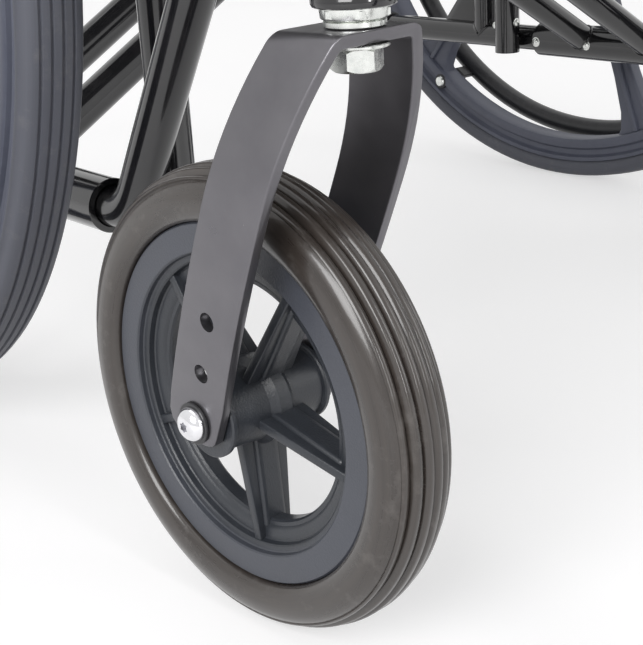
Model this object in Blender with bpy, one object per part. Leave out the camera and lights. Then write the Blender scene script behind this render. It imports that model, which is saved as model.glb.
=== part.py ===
"""Folding bariatric wheelchair with swing-away footrests and flip-back arms.

The chair faces -Y, +X is its left side and +Z is up. Each size is in metres. The origin is on the
floor under the middle of the whole chair. Y is first measured from the casters' swivel axes.
"""

import math

import bmesh
import bpy
from mathutils import Matrix, Vector

# Clearances
gap = 0.0003                    # between pieces that touch
bore_play = 0.0004              # round a shaft that turns in a bore
weld = 0.0012                   # how far a welded tube sinks into the next one

# Frame tubes and the side frame's outline
tube_radius = 0.0111
tube_sides = 10
seat_width = 0.559
rail_height = 0.139             # lower rail, above the floor
upper_rail_height = 0.440
slope_corner_y = 0.241          # where the lower rail turns up towards the seat
slope_lean = 32.5               # degrees from vertical
bend_radius = 0.034
rail_end_y = 0.690              # rear end of the tipping lever
front_post_y = 0.230
rear_post_y = 0.486
cane_y = 0.532
upright_bottom = 0.262
upright_rise = 0.017            # front upright above the upper rail
post_top = 0.4525
open_end_depth = 0.014          # how deep an open tube end shows as hollow
tube_wall = 0.0018

# Back canes and push handles
recline = 8.0
recline_height = 0.500
handle_height = 0.905
handle_length = 0.128
handle_bend = 0.040
grip_radius = 0.0142
grip_length = 0.103

# Casters
caster_radius = 0.100
caster_segments = 25
caster_trail = 0.0685
caster_offset = 0.050           # outboard of the side frame
caster_turn = 3.5               # degrees that both casters are swivelled at rest
caster_half_width = 0.0182
rim_seat_radius = 0.0774
rim_half_width = 0.0125
housing_radius = 0.015
housing_bottom = 0.266
housing_top = 0.372
stem_radius = 0.006
stem_top = 0.330
fork_plate = 0.006
fork_half_width = 0.0365        # outer faces of the arms
fork_arm_width = 0.0165         # half, measured along Y
fork_lean = 20.7
fork_curve_start = 0.100        # above the axle
fork_curve_radius = 0.150
fork_corner_start = 0.1545
fork_corner_radius = 0.0075
axle_hole_pitch = 0.0254
caster_axle_radius = 0.004
caster_hub_radius = 0.0150
caster_hub_half = 0.0297
spoke_count = 5
spoke_phase = 4.0               # degrees forward of straight down

# Rear wheels
wheel_radius = 0.305
wheel_segments = 32
wheel_offset = 0.060            # outboard of the side frame
wheel_tyre_half = 0.016
wheel_rim_outer = 0.290
wheel_rim_inner = 0.268
wheel_rim_half = 0.0125
wheel_spokes = 8
wheel_spoke_phase = 40.0        # degrees rearward of straight down
wheel_hub_radius = 0.030
wheel_hub_half = 0.030
wheel_axle_radius = 0.00635
hand_rim_radius = 0.268
hand_rim_offset = 0.036
hand_rim_tube = 0.0095
axle_plate = 0.005

# Dual cross brace and seat
seat_rail_height = 0.470
brace_pitch = 0.034             # between neighbouring brace tubes, left and right in turn
brace_first_y = 0.341
sleeve_wall = 0.0032
sleeve_front_y = 0.2605
sleeve_rear_y = 0.462
seat_rail_front_y = 0.030
seat_rail_rear_y = 0.505
pivot_bolt_radius = 0.005
saddle_length = 0.030
saddle_play = 0.0006
seat_thickness = 0.006
seat_front_y = 0.045
seat_rear_y = 0.500
back_bottom = 0.035             # along the canes, above their bend
back_height = 0.328
back_thickness = 0.007
back_pocket_wall = 0.0032

# Arms
arm_offset = 0.0265             # outboard of the side frame
arm_tube = 0.0095
thin_tube_sides = 8
arm_front_y = 0.075
arm_pivot_height = 0.478
arm_top = 0.700
arm_lower = 0.515
arm_bend = 0.040
skirt_thickness = 0.003
pad_width = 0.051
pad_length = 0.320
pad_height = 0.028
pad_front_y = 0.130
pad_shift = 0.016               # outboard of the arm tube
socket_bottom = 0.438
socket_top = 0.458
socket_wall = 0.003
socket_play = 0.0014

# Footrests
hanger_tube = 0.0095
hanger_axis_y = -0.031
hanger_y = -0.053
hanger_bottom = 0.290
hanger_top = 0.452
hanger_knee_y = -0.112
hanger_slope = 62.0             # degrees below horizontal
hanger_end = 0.190
hanger_bend = 0.032
hinge_lower = 0.302
hinge_upper = 0.402
hinge_plate = 0.0045
hinge_pin = 0.005
post_radius = 0.0075
post_insert = 0.040
footplate_axis_height = 0.115
footplate_drop = 0.020          # plate below its hinge when it is down
footplate_width = 0.190
footplate_length = 0.150
footplate_thickness = 0.006
hinge_rod = 0.006
latch_height = 0.427
latch_stud = 0.003

# Wheel locks
lock_lever_y = 0.150
lock_lever_z = 0.462
lock_shoe_y = 0.172
lock_shoe_z = 0.418
lock_bar_y = 0.194
lock_bar_z = 0.456
lock_bar_radius = 0.006
lock_plate = 0.004
lock_stud = 0.004
lock_lever_length = 0.130

# Places that follow from the sizes above
frame_x = seat_width / 2 + tube_radius
post_x = frame_x - 2 * tube_radius + weld
caster_x = frame_x + caster_offset
wheel_x = frame_x + wheel_offset
arm_x = frame_x + arm_offset
wheel_y = rear_post_y
slope_tan = math.tan(math.radians(slope_lean))
slope_top_y = slope_corner_y - slope_tan * (upper_rail_height - rail_height)
brace_angle = math.atan2(seat_rail_height - rail_height, frame_x + post_x)
brace_centre_z = rail_height + frame_x * math.tan(brace_angle)
right_brace_ys = (brace_first_y + brace_pitch, brace_first_y + 3 * brace_pitch)
left_brace_ys = (brace_first_y, brace_first_y + 2 * brace_pitch)
recline_tan = math.tan(math.radians(recline))
handle_y = cane_y + recline_tan * (handle_height - recline_height)
hanger_tan = math.tan(math.radians(hanger_slope))
hanger_end_y = hanger_knee_y - (hanger_top - hanger_end) / hanger_tan
post_end_y = hanger_knee_y - (hanger_top - footplate_axis_height) / hanger_tan
footplate_front_y = post_end_y - footplate_length / 2
shift_y = -(footplate_front_y + wheel_y + wheel_radius) / 2
welded_radius = tube_radius * math.cos(math.pi / tube_sides) - 0.0001

for old in list(bpy.data.objects):
    bpy.data.objects.remove(old, do_unlink=True)
scene_objects = bpy.context.scene.collection.objects


# Materials

def material(name, colour, roughness, metallic=0.0):
    made = bpy.data.materials.new(name)
    made.use_nodes = True
    shader = made.node_tree.nodes["Principled BSDF"]
    shader.inputs["Base Color"].default_value = (*colour, 1.0)
    shader.inputs["Roughness"].default_value = roughness
    shader.inputs["Metallic"].default_value = metallic
    made.diffuse_color = (*colour, 1.0)
    return made


gloss_black = ((0.012, 0.012, 0.014), 0.16)
satin_black = ((0.030, 0.030, 0.033), 0.38)
rubber_brown = ((0.050, 0.045, 0.043), 0.34)
rubber_grey = ((0.060, 0.062, 0.068), 0.55)
moulded_grey = ((0.040, 0.044, 0.052), 0.52)
moulded_black = ((0.015, 0.015, 0.017), 0.45)
zinc = ((0.62, 0.63, 0.62), 0.30, 1.0)
chrome = ((0.78, 0.78, 0.80), 0.10, 1.0)
nylon = ((0.012, 0.012, 0.013), 0.60)
vinyl = ((0.016, 0.016, 0.018), 0.62)


# Modelling helpers: each returns a mesh that is one closed body

def tidy(mesh, merge=1e-6):
    bm = bmesh.new()
    bm.from_mesh(mesh)
    bmesh.ops.remove_doubles(bm, verts=bm.verts, dist=merge)
    bmesh.ops.dissolve_degenerate(bm, edges=bm.edges, dist=merge)
    bm.to_mesh(mesh)
    bm.free()
    return mesh


def slim(mesh, flat=0.2):
    """Flat regions lose the edges and points that they don't need, where that keeps it closed."""
    bm = bmesh.new()
    bm.from_mesh(mesh)
    if flat > 0:
        bmesh.ops.dissolve_limit(bm, angle_limit=math.radians(flat), verts=bm.verts,
                                 edges=bm.edges)
    bmesh.ops.triangulate(bm, faces=bm.faces)
    closed = all(len(edge.link_faces) == 2 for edge in bm.edges)
    if closed or flat == 0:
        bm.to_mesh(mesh)
    bm.free()
    if not closed and flat > 0:
        slim(mesh, 0)


def evaluated(obj):
    graph = bpy.context.evaluated_depsgraph_get()
    graph.update()
    return bpy.data.meshes.new_from_object(obj.evaluated_get(graph))


def from_bmesh(bm, outward=True):
    bmesh.ops.remove_doubles(bm, verts=bm.verts, dist=1e-7)
    if outward:
        bmesh.ops.recalc_face_normals(bm, faces=bm.faces)
    mesh = bpy.data.meshes.new("solid")
    bm.to_mesh(mesh)
    bm.free()
    return mesh


def combine(operation, base, tools):
    carrier = bpy.data.objects.new("carrier", base)
    scene_objects.link(carrier)
    helpers = []
    for tool in tools:
        helper = bpy.data.objects.new("helper", tool)
        scene_objects.link(helper)
        helpers.append(helper)
        step = carrier.modifiers.new("step", "BOOLEAN")
        step.operation = operation
        step.solver = "EXACT"
        step.object = helper
    result = evaluated(carrier)
    for used in [carrier] + helpers:
        bpy.data.objects.remove(used, do_unlink=True)
    return tidy(result)


def join(base, *others):
    return combine("UNION", base, others)


def cut(base, *cutters):
    return combine("DIFFERENCE", base, cutters)


def moved(mesh, matrix):
    copy = mesh.copy()
    copy.transform(matrix)
    if matrix.determinant() < 0:
        copy.flip_normals()
    return copy


def shifted(mesh, x=0.0, y=0.0, z=0.0):
    return moved(mesh, Matrix.Translation((x, y, z)))


def on_side(mesh, side):
    """The mesh as built for the left side, or its mirror image for the right side."""
    return mesh if side > 0 else moved(mesh, Matrix.Diagonal((-1, 1, 1, 1)))


def rounded(points, radius, steps):
    """The corners of a path become arcs of this radius."""
    path = [Vector(points[0])]
    for before, corner, after in zip(points, points[1:], points[2:]):
        corner = Vector(corner)
        into = (Vector(before) - corner).normalized()
        out = (Vector(after) - corner).normalized()
        half = into.angle(out) / 2
        reach = radius / math.tan(half)
        centre = corner + (into + out).normalized() * (radius / math.sin(half))
        start = corner + into * reach - centre
        end = corner + out * reach - centre
        sweep = math.pi - 2 * half
        for step in range(steps + 1):
            t = step / steps
            weight_a = math.sin((1 - t) * sweep) / math.sin(sweep)
            weight_b = math.sin(t * sweep) / math.sin(sweep)
            path.append(centre + start * weight_a + end * weight_b)
    path.append(Vector(points[-1]))
    return path


def swept(path, radius, sides=tube_sides):
    """A round bar through the points of a path."""
    curve = bpy.data.curves.new("path", "CURVE")
    curve.dimensions = "3D"
    curve.bevel_depth = radius
    curve.bevel_resolution = sides // 2 - 2
    curve.use_fill_caps = True
    spline = curve.splines.new("POLY")
    spline.points.add(len(path) - 1)
    for point, place in zip(spline.points, path):
        point.co = (*place, 1.0)
    carrier = bpy.data.objects.new("path", curve)
    scene_objects.link(carrier)
    mesh = evaluated(carrier)
    bpy.data.objects.remove(carrier, do_unlink=True)
    bm = bmesh.new()
    bm.from_mesh(mesh)
    return from_bmesh(bm)


def tube(points, radius, bend=0.0, steps=4, sides=tube_sides):
    """A round bar along a path of straights, its corners bent to a radius."""
    path = rounded(points, bend, steps) if len(points) > 2 else points
    return swept(path, radius, sides)


def turned(profile, segments):
    """A closed profile of (along, radius) points spun about X. Points on the axis close the ends."""
    bm = bmesh.new()
    verts = [bm.verts.new((x, 0.0, -r)) for x, r in profile]
    around = list(zip(verts, verts[1:] + verts[:1], profile, profile[1:] + profile[:1]))
    edges = [bm.edges.new((a, b)) for a, b, p, q in around if p[1] > 0 or q[1] > 0]
    bmesh.ops.spin(
        bm, geom=verts + edges, cent=(0, 0, 0), axis=(1, 0, 0),
        dvec=(0, 0, 0), angle=2 * math.pi, steps=segments, use_merge=True,
    )
    return from_bmesh(bm)


def rod(x0, x1, radius, segments=12):
    """A solid cylinder along X."""
    return turned([(x0, 0.0), (x0, radius), (x1, radius), (x1, 0.0)], segments)


def turn_to(mesh, axis):
    """Takes a solid that was turned about X and lays its axis along Y or Z."""
    if axis == "Y":
        return moved(mesh, Matrix.Rotation(math.pi / 2, 4, "Z"))
    return moved(mesh, Matrix.Rotation(-math.pi / 2, 4, "Y"))


def cylinder(axis, low, high, radius, segments=12):
    return rod(low, high, radius, segments) if axis == "X" else turn_to(
        rod(low, high, radius, segments), axis
    )


def slab(outline, low, high, plane="YZ", holes=()):
    """An outline in one plane, extruded between two levels of the third axis."""
    bm = bmesh.new()
    order = {"YZ": lambda a, b, c: (c, a, b), "XY": lambda a, b, c: (a, b, c),
             "XZ": lambda a, b, c: (a, c, b)}[plane]
    loops = [[bm.verts.new(order(a, b, low)) for a, b in loop] for loop in (outline, *holes)]
    if holes:
        edges = [bm.edges.new(pair) for loop in loops for pair in zip(loop, loop[1:] + loop[:1])]
        bmesh.ops.triangle_fill(bm, edges=edges, use_beauty=True)
    else:
        bm.faces.new(loops[0])
    grown = bmesh.ops.extrude_face_region(bm, geom=list(bm.faces))
    lift = Vector(order(0, 0, high)) - Vector(order(0, 0, low))
    raised = [v for v in grown["geom"] if isinstance(v, bmesh.types.BMVert)]
    bmesh.ops.translate(bm, verts=raised, vec=lift)
    return from_bmesh(bm)


def rounded_outline(a0, b0, a1, b1, radius, steps=3):
    """A rectangle with round corners, as points in order."""
    points = []
    corners = ((a1, b1, 0), (a0, b1, 90), (a0, b0, 180), (a1, b0, 270))
    for a, b, start in corners:
        ca = a - radius * (1 if a == a1 else -1)
        cb = b - radius * (1 if b == b1 else -1)
        for step in range(steps + 1):
            angle = math.radians(start + 90 * step / steps)
            points.append((ca + radius * math.cos(angle), cb + radius * math.sin(angle)))
    return points


def block(low, high):
    (x0, y0, z0), (x1, y1, z1) = low, high
    return slab([(x0, y0), (x1, y0), (x1, y1), (x0, y1)], z0, z1, "XY")


def finish(name, mesh, look, origin=(0, 0, 0)):
    """Makes the node, with its origin on its joint's axis."""
    mesh.name = name
    slim(mesh)
    mesh.materials.clear()
    mesh.materials.append(material(name, *look))
    mesh.transform(Matrix.Translation(-Vector(origin)))
    mesh.shade_smooth()
    mesh.set_sharp_from_angle(angle=math.radians(32))
    node = bpy.data.objects.new(name, mesh)
    scene_objects.link(node)
    node.location = Vector(origin) + Vector((0, shift_y, 0))


# Side frames: rail, slope, posts, cane, caster housing and brackets, welded into one

def cane_path():
    return [
        (frame_x, cane_y, rail_height),
        (frame_x, cane_y, recline_height),
        (frame_x, handle_y, handle_height),
        (frame_x, handle_y + handle_length, handle_height),
    ]


def cane():
    lower = rounded(cane_path()[:3], 0.06, 2)
    upper = rounded(cane_path()[1:], handle_bend, 3)
    return swept(lower[:-1] + upper[1:], tube_radius)


def inboard_post(y):
    low = rail_height - tube_radius
    post = tube([(post_x, y, low), (post_x, y, post_top)], tube_radius)
    mouth = cylinder("Z", low - 0.01, low + open_end_depth, tube_radius - tube_wall, 8)
    return cut(post, shifted(mouth, post_x, y))


def caster_housing():
    edge = 0.004
    shell = turned([
        (housing_bottom, 0.0),
        (housing_bottom, housing_radius - edge),
        (housing_bottom + edge, housing_radius),
        (housing_top - edge, housing_radius),
        (housing_top, housing_radius - edge),
        (housing_top, 0.0),
    ], 16)
    bore = rod(housing_bottom - 0.01, stem_top + 0.004, stem_radius + bore_play, 12)
    return shifted(turn_to(cut(shell, bore), "Z"), caster_x, 0.0)


def axle_carrier():
    """The plate between the rear post and the cane, with the boss that the axle runs through."""
    outer = post_x + tube_radius - weld
    plate = slab(
        rounded_outline(wheel_y - 0.022, wheel_radius - 0.042, cane_y - 0.004,
                        wheel_radius + 0.042, 0.010, 1),
        outer, outer + axle_plate,
    )
    boss = shifted(rod(post_x - tube_radius - 0.003, frame_x + 0.010, 0.0125, 12),
                   0, wheel_y, wheel_radius)
    return join(plate, boss)


def gusset(y0, z0, dy, dz):
    corner = [(y0, z0), (y0 + dy, z0), (y0, z0 + dz)]
    return slab(corner, frame_x - 0.002, frame_x + 0.002)


def arm_socket():
    cup_radius = arm_tube + socket_play + socket_wall
    cup = cylinder("Z", socket_bottom, socket_top, cup_radius, 12)
    hollow = cylinder("Z", socket_bottom + 0.004, socket_top + 0.01, arm_tube + socket_play, 12)
    cup = shifted(cut(cup, hollow), arm_x, arm_front_y)
    inner_edge = arm_x - arm_tube - socket_play
    bridge = block(
        (frame_x + tube_radius - 0.004, arm_front_y - 0.007, socket_bottom + 0.004),
        (inner_edge - 0.0008, arm_front_y + 0.007, socket_bottom + 0.020),
    )
    return join(cup, bridge)


def arm_lug():
    """The ear on the cane that the arm's rear pivot bolt runs through."""
    inner = frame_x + tube_radius - 0.003
    outer = arm_x - arm_tube - 0.0012
    ear = shifted(rod(inner, outer, 0.014, 12), 0, cane_y, arm_pivot_height)
    return ear


def footrest_hinges():
    """Two lugs with upright pins on the front of the upright."""
    lugs = []
    for level in (hinge_lower, hinge_upper):
        plate = slab(
            rounded_outline(frame_x - 0.0085, hanger_axis_y - 0.0085, frame_x + 0.0085,
                            -tube_radius + 0.003, 0.006, 1),
            level - gap - hinge_plate, level - gap, "XY",
        )
        pin = shifted(cylinder("Z", level - gap - 0.001, level + hinge_plate + 0.005,
                               hinge_pin, 8), frame_x, hanger_axis_y)
        lugs.append(join(plate, pin))
    return lugs


def side_frame():
    rail = tube([
        (frame_x, rail_end_y, rail_height),
        (frame_x, slope_corner_y, rail_height),
        (frame_x, slope_top_y, upper_rail_height),
    ], tube_radius, bend_radius, steps=4)
    upper = tube([(frame_x, 0.0, upper_rail_height), (frame_x, cane_y, upper_rail_height)],
                 welded_radius)
    upright = tube([(frame_x, 0.0, upright_bottom),
                    (frame_x, 0.0, upper_rail_height + upright_rise)], tube_radius)
    stubs = [
        tube([(frame_x, 0.0, level), (caster_x - stem_radius - 0.005, 0.0, level)], 0.0085,
             sides=8)
        for level in (housing_bottom + 0.022, housing_top - 0.022)
    ]
    frame = join(rail, upper, upright, cane(), *stubs)
    frame = join(frame, inboard_post(front_post_y), inboard_post(rear_post_y))
    frame = join(frame, axle_carrier(), caster_housing(), arm_socket(), arm_lug(),
                 gusset(cane_y + 0.006, rail_height + 0.006, 0.050, 0.060), *footrest_hinges())
    axle_bore = shifted(rod(post_x - 0.05, frame_x + 0.05, wheel_axle_radius + bore_play, 12),
                        0, wheel_y, wheel_radius)
    pivot_bore = shifted(rod(frame_x - 0.0085, arm_x, 0.004 + bore_play, 12),
                         0, cane_y, arm_pivot_height)
    return cut(frame, axle_bore, pivot_bore)


def seat_saddle(y):
    """The plastic cradle on top of an inboard post that the seat rail drops into."""
    half = tube_radius + saddle_play + 0.0035
    cradle = block((post_x - half, y - saddle_length / 2, post_top + gap),
                   (post_x + half, y + saddle_length / 2, seat_rail_height))
    groove = shifted(cylinder("Y", -saddle_length, saddle_length, tube_radius + saddle_play, 16),
                     post_x, y, seat_rail_height)
    return cut(cradle, groove)


def hand_grip():
    start = handle_y + handle_length - grip_length + 0.012
    end = handle_y + handle_length
    bulge = [
        (start, tube_radius + gap * 2), (start, grip_radius + 0.002),
        (start + 0.004, grip_radius + 0.002), (start + 0.008, grip_radius),
        (end - 0.004, grip_radius), (end + 0.006, grip_radius - 0.003),
        (end + 0.008, 0.0), (end + gap, 0.0), (end + gap, tube_radius + gap * 2),
    ]
    return shifted(turn_to(turned(bulge, 12), "Y"), frame_x, 0, handle_height)


def rail_cap():
    start = rail_end_y - 0.030
    shape = [
        (start, tube_radius + gap * 2), (start, tube_radius + 0.0022),
        (rail_end_y + 0.002, tube_radius + 0.0022), (rail_end_y + 0.006, tube_radius - 0.002),
        (rail_end_y + 0.006, 0.0), (rail_end_y + gap, 0.0),
        (rail_end_y + gap, tube_radius + gap * 2),
    ]
    return shifted(turn_to(turned(shape, 12), "Y"), frame_x, 0, rail_height)


# Cross braces

def cross_brace(tube_ys):
    """Two tubes on a sleeve that turns on the left rail, with the right seat rail on top."""
    sleeve_radius = tube_radius + bore_play + 0.0002 + sleeve_wall
    sleeve = cylinder("Y", sleeve_front_y, sleeve_rear_y, sleeve_radius, 16)
    sleeve = shifted(sleeve, frame_x, 0, rail_height)
    bore = cylinder("Y", sleeve_front_y - 0.01, sleeve_rear_y + 0.01,
                    sleeve_radius - sleeve_wall, 16)
    bore = shifted(bore, frame_x, 0, rail_height)
    direction = Vector((-math.cos(brace_angle), 0, math.sin(brace_angle)))
    legs = []
    for y in tube_ys:
        foot = Vector((frame_x, y, rail_height))
        top = Vector((-post_x, y, seat_rail_height))
        legs.append(tube([foot + direction * 0.008, top], welded_radius))
    seat_rail = tube([(-post_x, seat_rail_front_y, seat_rail_height),
                      (-post_x, seat_rail_rear_y, seat_rail_height)], tube_radius)
    pivot = shifted(cylinder("Y", 0.2, 0.6, pivot_bolt_radius + bore_play, 12),
                    0, 0, brace_centre_z)
    return cut(join(sleeve, seat_rail, *legs), bore, pivot)


def pivot_bolt():
    """One long bolt through all four brace tubes, with a spacer in each space between them."""
    first = left_brace_ys[0] - tube_radius - gap
    last = right_brace_ys[1] + tube_radius + gap
    shape = [(first - 0.006, 0.0), (first - 0.006, 0.0075), (first, 0.0095)]
    for index in range(3):
        start = brace_first_y + index * brace_pitch + tube_radius + gap
        end = brace_first_y + (index + 1) * brace_pitch - tube_radius - gap
        shape += [(start, pivot_bolt_radius), (start, 0.0085), (end, 0.0085),
                  (end, pivot_bolt_radius)]
    shape.insert(3, (first, pivot_bolt_radius))
    shape += [(last + 0.010, pivot_bolt_radius), (last + 0.010, 0.0)]
    return shifted(turn_to(turned(shape, 8), "Y"), 0, 0, brace_centre_z)


def hexagon_nut(low, high, across_flats, bore):
    radius = across_flats / math.sqrt(3)
    outline = [(radius * math.cos(math.radians(60 * k + 30)),
                radius * math.sin(math.radians(60 * k + 30))) for k in range(6)]
    return cut(slab(outline, low, high, "YZ"), rod(low - 0.01, high + 0.01, bore, 12))


def pivot_nut():
    last = right_brace_ys[1] + tube_radius + gap
    nut = hexagon_nut(last, last + 0.007, 0.016, pivot_bolt_radius + gap)
    return shifted(turn_to(nut, "Y"), 0, 0, brace_centre_z)


# Upholstery

def seat_sling():
    edge = post_x + tube_radius - 0.0005
    low = seat_rail_height + tube_radius + 0.0004
    outline = rounded_outline(-edge, seat_front_y, edge, seat_rear_y, 0.012, 3)
    return slab(outline, low, low + seat_thickness, "XY")


def back_sling():
    """A panel with a pocket round each cane, made upright and then leaned back with the canes."""
    pocket_radius = tube_radius + gap * 3
    outer_radius = pocket_radius + back_pocket_wall
    meet = math.asin(back_thickness / 2 / outer_radius)
    outline = []
    for side in (1, -1):
        for step in range(9):
            angle = (math.pi - meet) * (step / 4 - 1)
            outline.append((side * (frame_x + outer_radius * math.cos(angle)),
                            side * outer_radius * math.sin(angle)))
    pockets = [
        [(side * frame_x + pocket_radius * math.cos(math.radians(30 * step)),
          pocket_radius * math.sin(math.radians(30 * step))) for step in range(12)]
        for side in (1, -1)
    ]
    sling = slab(outline, back_bottom, back_bottom + back_height, "XY", pockets)
    lean = Matrix.Rotation(-math.radians(recline), 4, "X")
    return moved(sling, Matrix.Translation((0, cane_y, recline_height)) @ lean)


# Arms

def arm_frame():
    loop = tube([
        (arm_x, arm_front_y, socket_bottom + 0.0045),
        (arm_x, arm_front_y, arm_top),
        (arm_x, cane_y, arm_top),
        (arm_x, cane_y, arm_pivot_height),
    ], arm_tube, arm_bend, 3, thin_tube_sides)
    lower = tube([(arm_x, arm_front_y, arm_lower), (arm_x, cane_y, arm_lower)],
                 arm_tube * 0.92, sides=thin_tube_sides)
    boss = shifted(rod(arm_x - arm_tube - 0.0006, arm_x + arm_tube + 0.0006, 0.0125, 12),
                   0, cane_y, arm_pivot_height)
    bore = shifted(rod(arm_x - 0.05, arm_x + 0.05, 0.004 + bore_play, 12),
                   0, cane_y, arm_pivot_height)
    return cut(join(loop, lower, boss), bore)


def skirt_guard():
    reach = arm_tube + gap
    outline = rounded_outline(arm_front_y + reach, arm_lower + reach, cane_y - reach,
                              arm_top - reach, arm_bend - arm_tube, 3)
    return slab(outline, arm_x - skirt_thickness / 2, arm_x + skirt_thickness / 2)


def arm_pad():
    x = arm_x + pad_shift
    low = arm_top + arm_tube + gap
    outline = rounded_outline(x - pad_width / 2, pad_front_y, x + pad_width / 2,
                              pad_front_y + pad_length, 0.016, 4)
    mesh = slab(outline, low, low + pad_height, "XY")
    bm = bmesh.new()
    bm.from_mesh(mesh)
    top = [e for e in bm.edges if min(v.co.z for v in e.verts) > low + pad_height - 1e-5]
    bmesh.ops.bevel(bm, geom=top, offset=0.006, segments=2, profile=0.5, affect="EDGES")
    return from_bmesh(bm)


def arm_bolt():
    head = arm_x + arm_tube + 0.0006 + gap
    start = frame_x - 0.008
    shape = [(start, 0.0), (start, 0.004), (head, 0.004), (head, 0.0075), (head + 0.0020, 0.0065), (head + 0.0036, 0.003),
             (head + 0.0040, 0.0)]
    return shifted(turned(shape, 12), 0, cane_y, arm_pivot_height)


# Rear wheels

def rear_wheel():
    half, inner, outer = wheel_rim_half, wheel_rim_inner, wheel_rim_outer
    rim = turned([
        (-half, outer), (-half, inner + 0.004), (-half + 0.0045, inner),
        (half - 0.0045, inner), (half, inner + 0.004), (half, outer),
    ], wheel_segments)
    hub = turned([
        (-wheel_hub_half, 0.0), (-wheel_hub_half, wheel_hub_radius - 0.010),
        (-0.010, wheel_hub_radius), (0.010, wheel_hub_radius),
        (wheel_hub_half, wheel_hub_radius - 0.010), (wheel_hub_half, 0.0),
    ], 16)
    spokes = []
    for index in range(wheel_spokes):
        spoke = slab([
            (-0.0150, -wheel_hub_radius + 0.008), (0.0150, -wheel_hub_radius + 0.008),
            (0.0095, -inner * 0.55), (0.0140, -inner - 0.003), (-0.0140, -inner - 0.003),
            (-0.0095, -inner * 0.55),
        ], -0.0075, 0.0075)
        angle = math.radians(wheel_spoke_phase + 360 / wheel_spokes * index)
        spokes.append(moved(spoke, Matrix.Rotation(angle, 4, "X")))
    bore = rod(-0.05, 0.05, wheel_axle_radius + bore_play, 16)
    return shifted(cut(join(rim, hub, *spokes), bore), wheel_x, wheel_y, wheel_radius)


def rear_tyre():
    half, seat = wheel_rim_half, wheel_rim_outer + gap
    profile = [
        (-half, seat), (-wheel_tyre_half, seat + 0.004), (-wheel_tyre_half, wheel_radius - 0.0085),
        (-0.006, wheel_radius), (0.006, wheel_radius),
        (wheel_tyre_half, wheel_radius - 0.0085), (wheel_tyre_half, seat + 0.004), (half, seat),
    ]
    return shifted(turned(profile, wheel_segments), wheel_x, wheel_y, wheel_radius)


def hand_rim():
    ring = turned([
        (hand_rim_offset + hand_rim_tube * math.cos(math.radians(60 * k)),
         hand_rim_radius + hand_rim_tube * math.sin(math.radians(60 * k)))
        for k in range(6)
    ], wheel_segments)
    tabs = []
    for index in range(0, wheel_spokes, 2):
        low = hand_rim_radius + 0.001
        tab = slab([(-0.009, -low), (0.009, -low), (0.007, -low - 0.013), (-0.007, -low - 0.013)],
                   wheel_rim_half + gap, hand_rim_offset)
        angle = math.radians(wheel_spoke_phase + 360 / wheel_spokes * index)
        tabs.append(moved(tab, Matrix.Rotation(angle, 4, "X")))
    return shifted(join(ring, *tabs), wheel_x, wheel_y, wheel_radius)


def rear_axle():
    """The axle bolt: its nut inboard of the post, a spacer, and a cap outboard of the hub."""
    inner = post_x - tube_radius - 0.003 - gap
    boss = frame_x + 0.010 + gap
    hub_in = wheel_x - wheel_hub_half - gap
    hub_out = wheel_x + wheel_hub_half + gap
    shape = [
        (inner - 0.008, 0.0), (inner - 0.008, 0.0095), (inner, 0.0105),
        (inner, wheel_axle_radius), (boss, wheel_axle_radius), (boss, 0.0115),
        (hub_in, 0.0115), (hub_in, wheel_axle_radius), (hub_out, wheel_axle_radius),
        (hub_out, 0.0110), (hub_out + 0.003, 0.0100), (hub_out + 0.005, 0.0),
    ]
    return shifted(turned(shape, 12), 0, wheel_y, wheel_radius)


# Casters, each in its own frame: the swivel axis is Z and the wheel trails towards +Y

def fork_stations():
    """Front view of one arm: for each station, the outer and the inner point."""
    stations = []
    lean = math.tan(math.radians(fork_lean))
    corner_centre_z = fork_corner_start
    for z, front, rear in ((-0.0090, -0.0095, 0.0010), (-0.0070, -0.0139, 0.0070),
                           (-0.0030, -0.0154, 0.0118), (0.0020, -0.0172, 0.0134)):
        stations.append((fork_half_width, fork_half_width - fork_plate, z, z, front, rear))
    for z in (0.0080, fork_curve_start):
        stations.append((fork_half_width, fork_half_width - fork_plate, z, z,
                         -fork_arm_width - lean * z, fork_arm_width - lean * z))
    bend_centre = fork_half_width - fork_curve_radius
    last = math.asin((corner_centre_z - fork_curve_start) / fork_curve_radius)
    for step in range(1, 3):
        angle = last * step / 2
        outer = (bend_centre + fork_curve_radius * math.cos(angle),
                 fork_curve_start + fork_curve_radius * math.sin(angle))
        inner = (outer[0] - fork_plate * math.cos(angle), outer[1] - fork_plate * math.sin(angle))
        middle = outer[1]
        stations.append((outer[0], inner[0], outer[1], inner[1],
                         -fork_arm_width - lean * middle, fork_arm_width - lean * middle))
    corner = (outer[0] - fork_corner_radius * math.cos(last),
              outer[1] - fork_corner_radius * math.sin(last))
    small = fork_corner_radius - fork_plate
    for step in range(1, 4):
        angle = last + (math.pi / 2 - last) * step / 3
        out = (corner[0] + fork_corner_radius * math.cos(angle),
               corner[1] + fork_corner_radius * math.sin(angle))
        inn = (corner[0] + small * math.cos(angle), corner[1] + small * math.sin(angle))
        stations.append((out[0], inn[0], out[1], inn[1],
                         -fork_arm_width - lean * out[1], fork_arm_width - lean * out[1]))
    return stations


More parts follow.
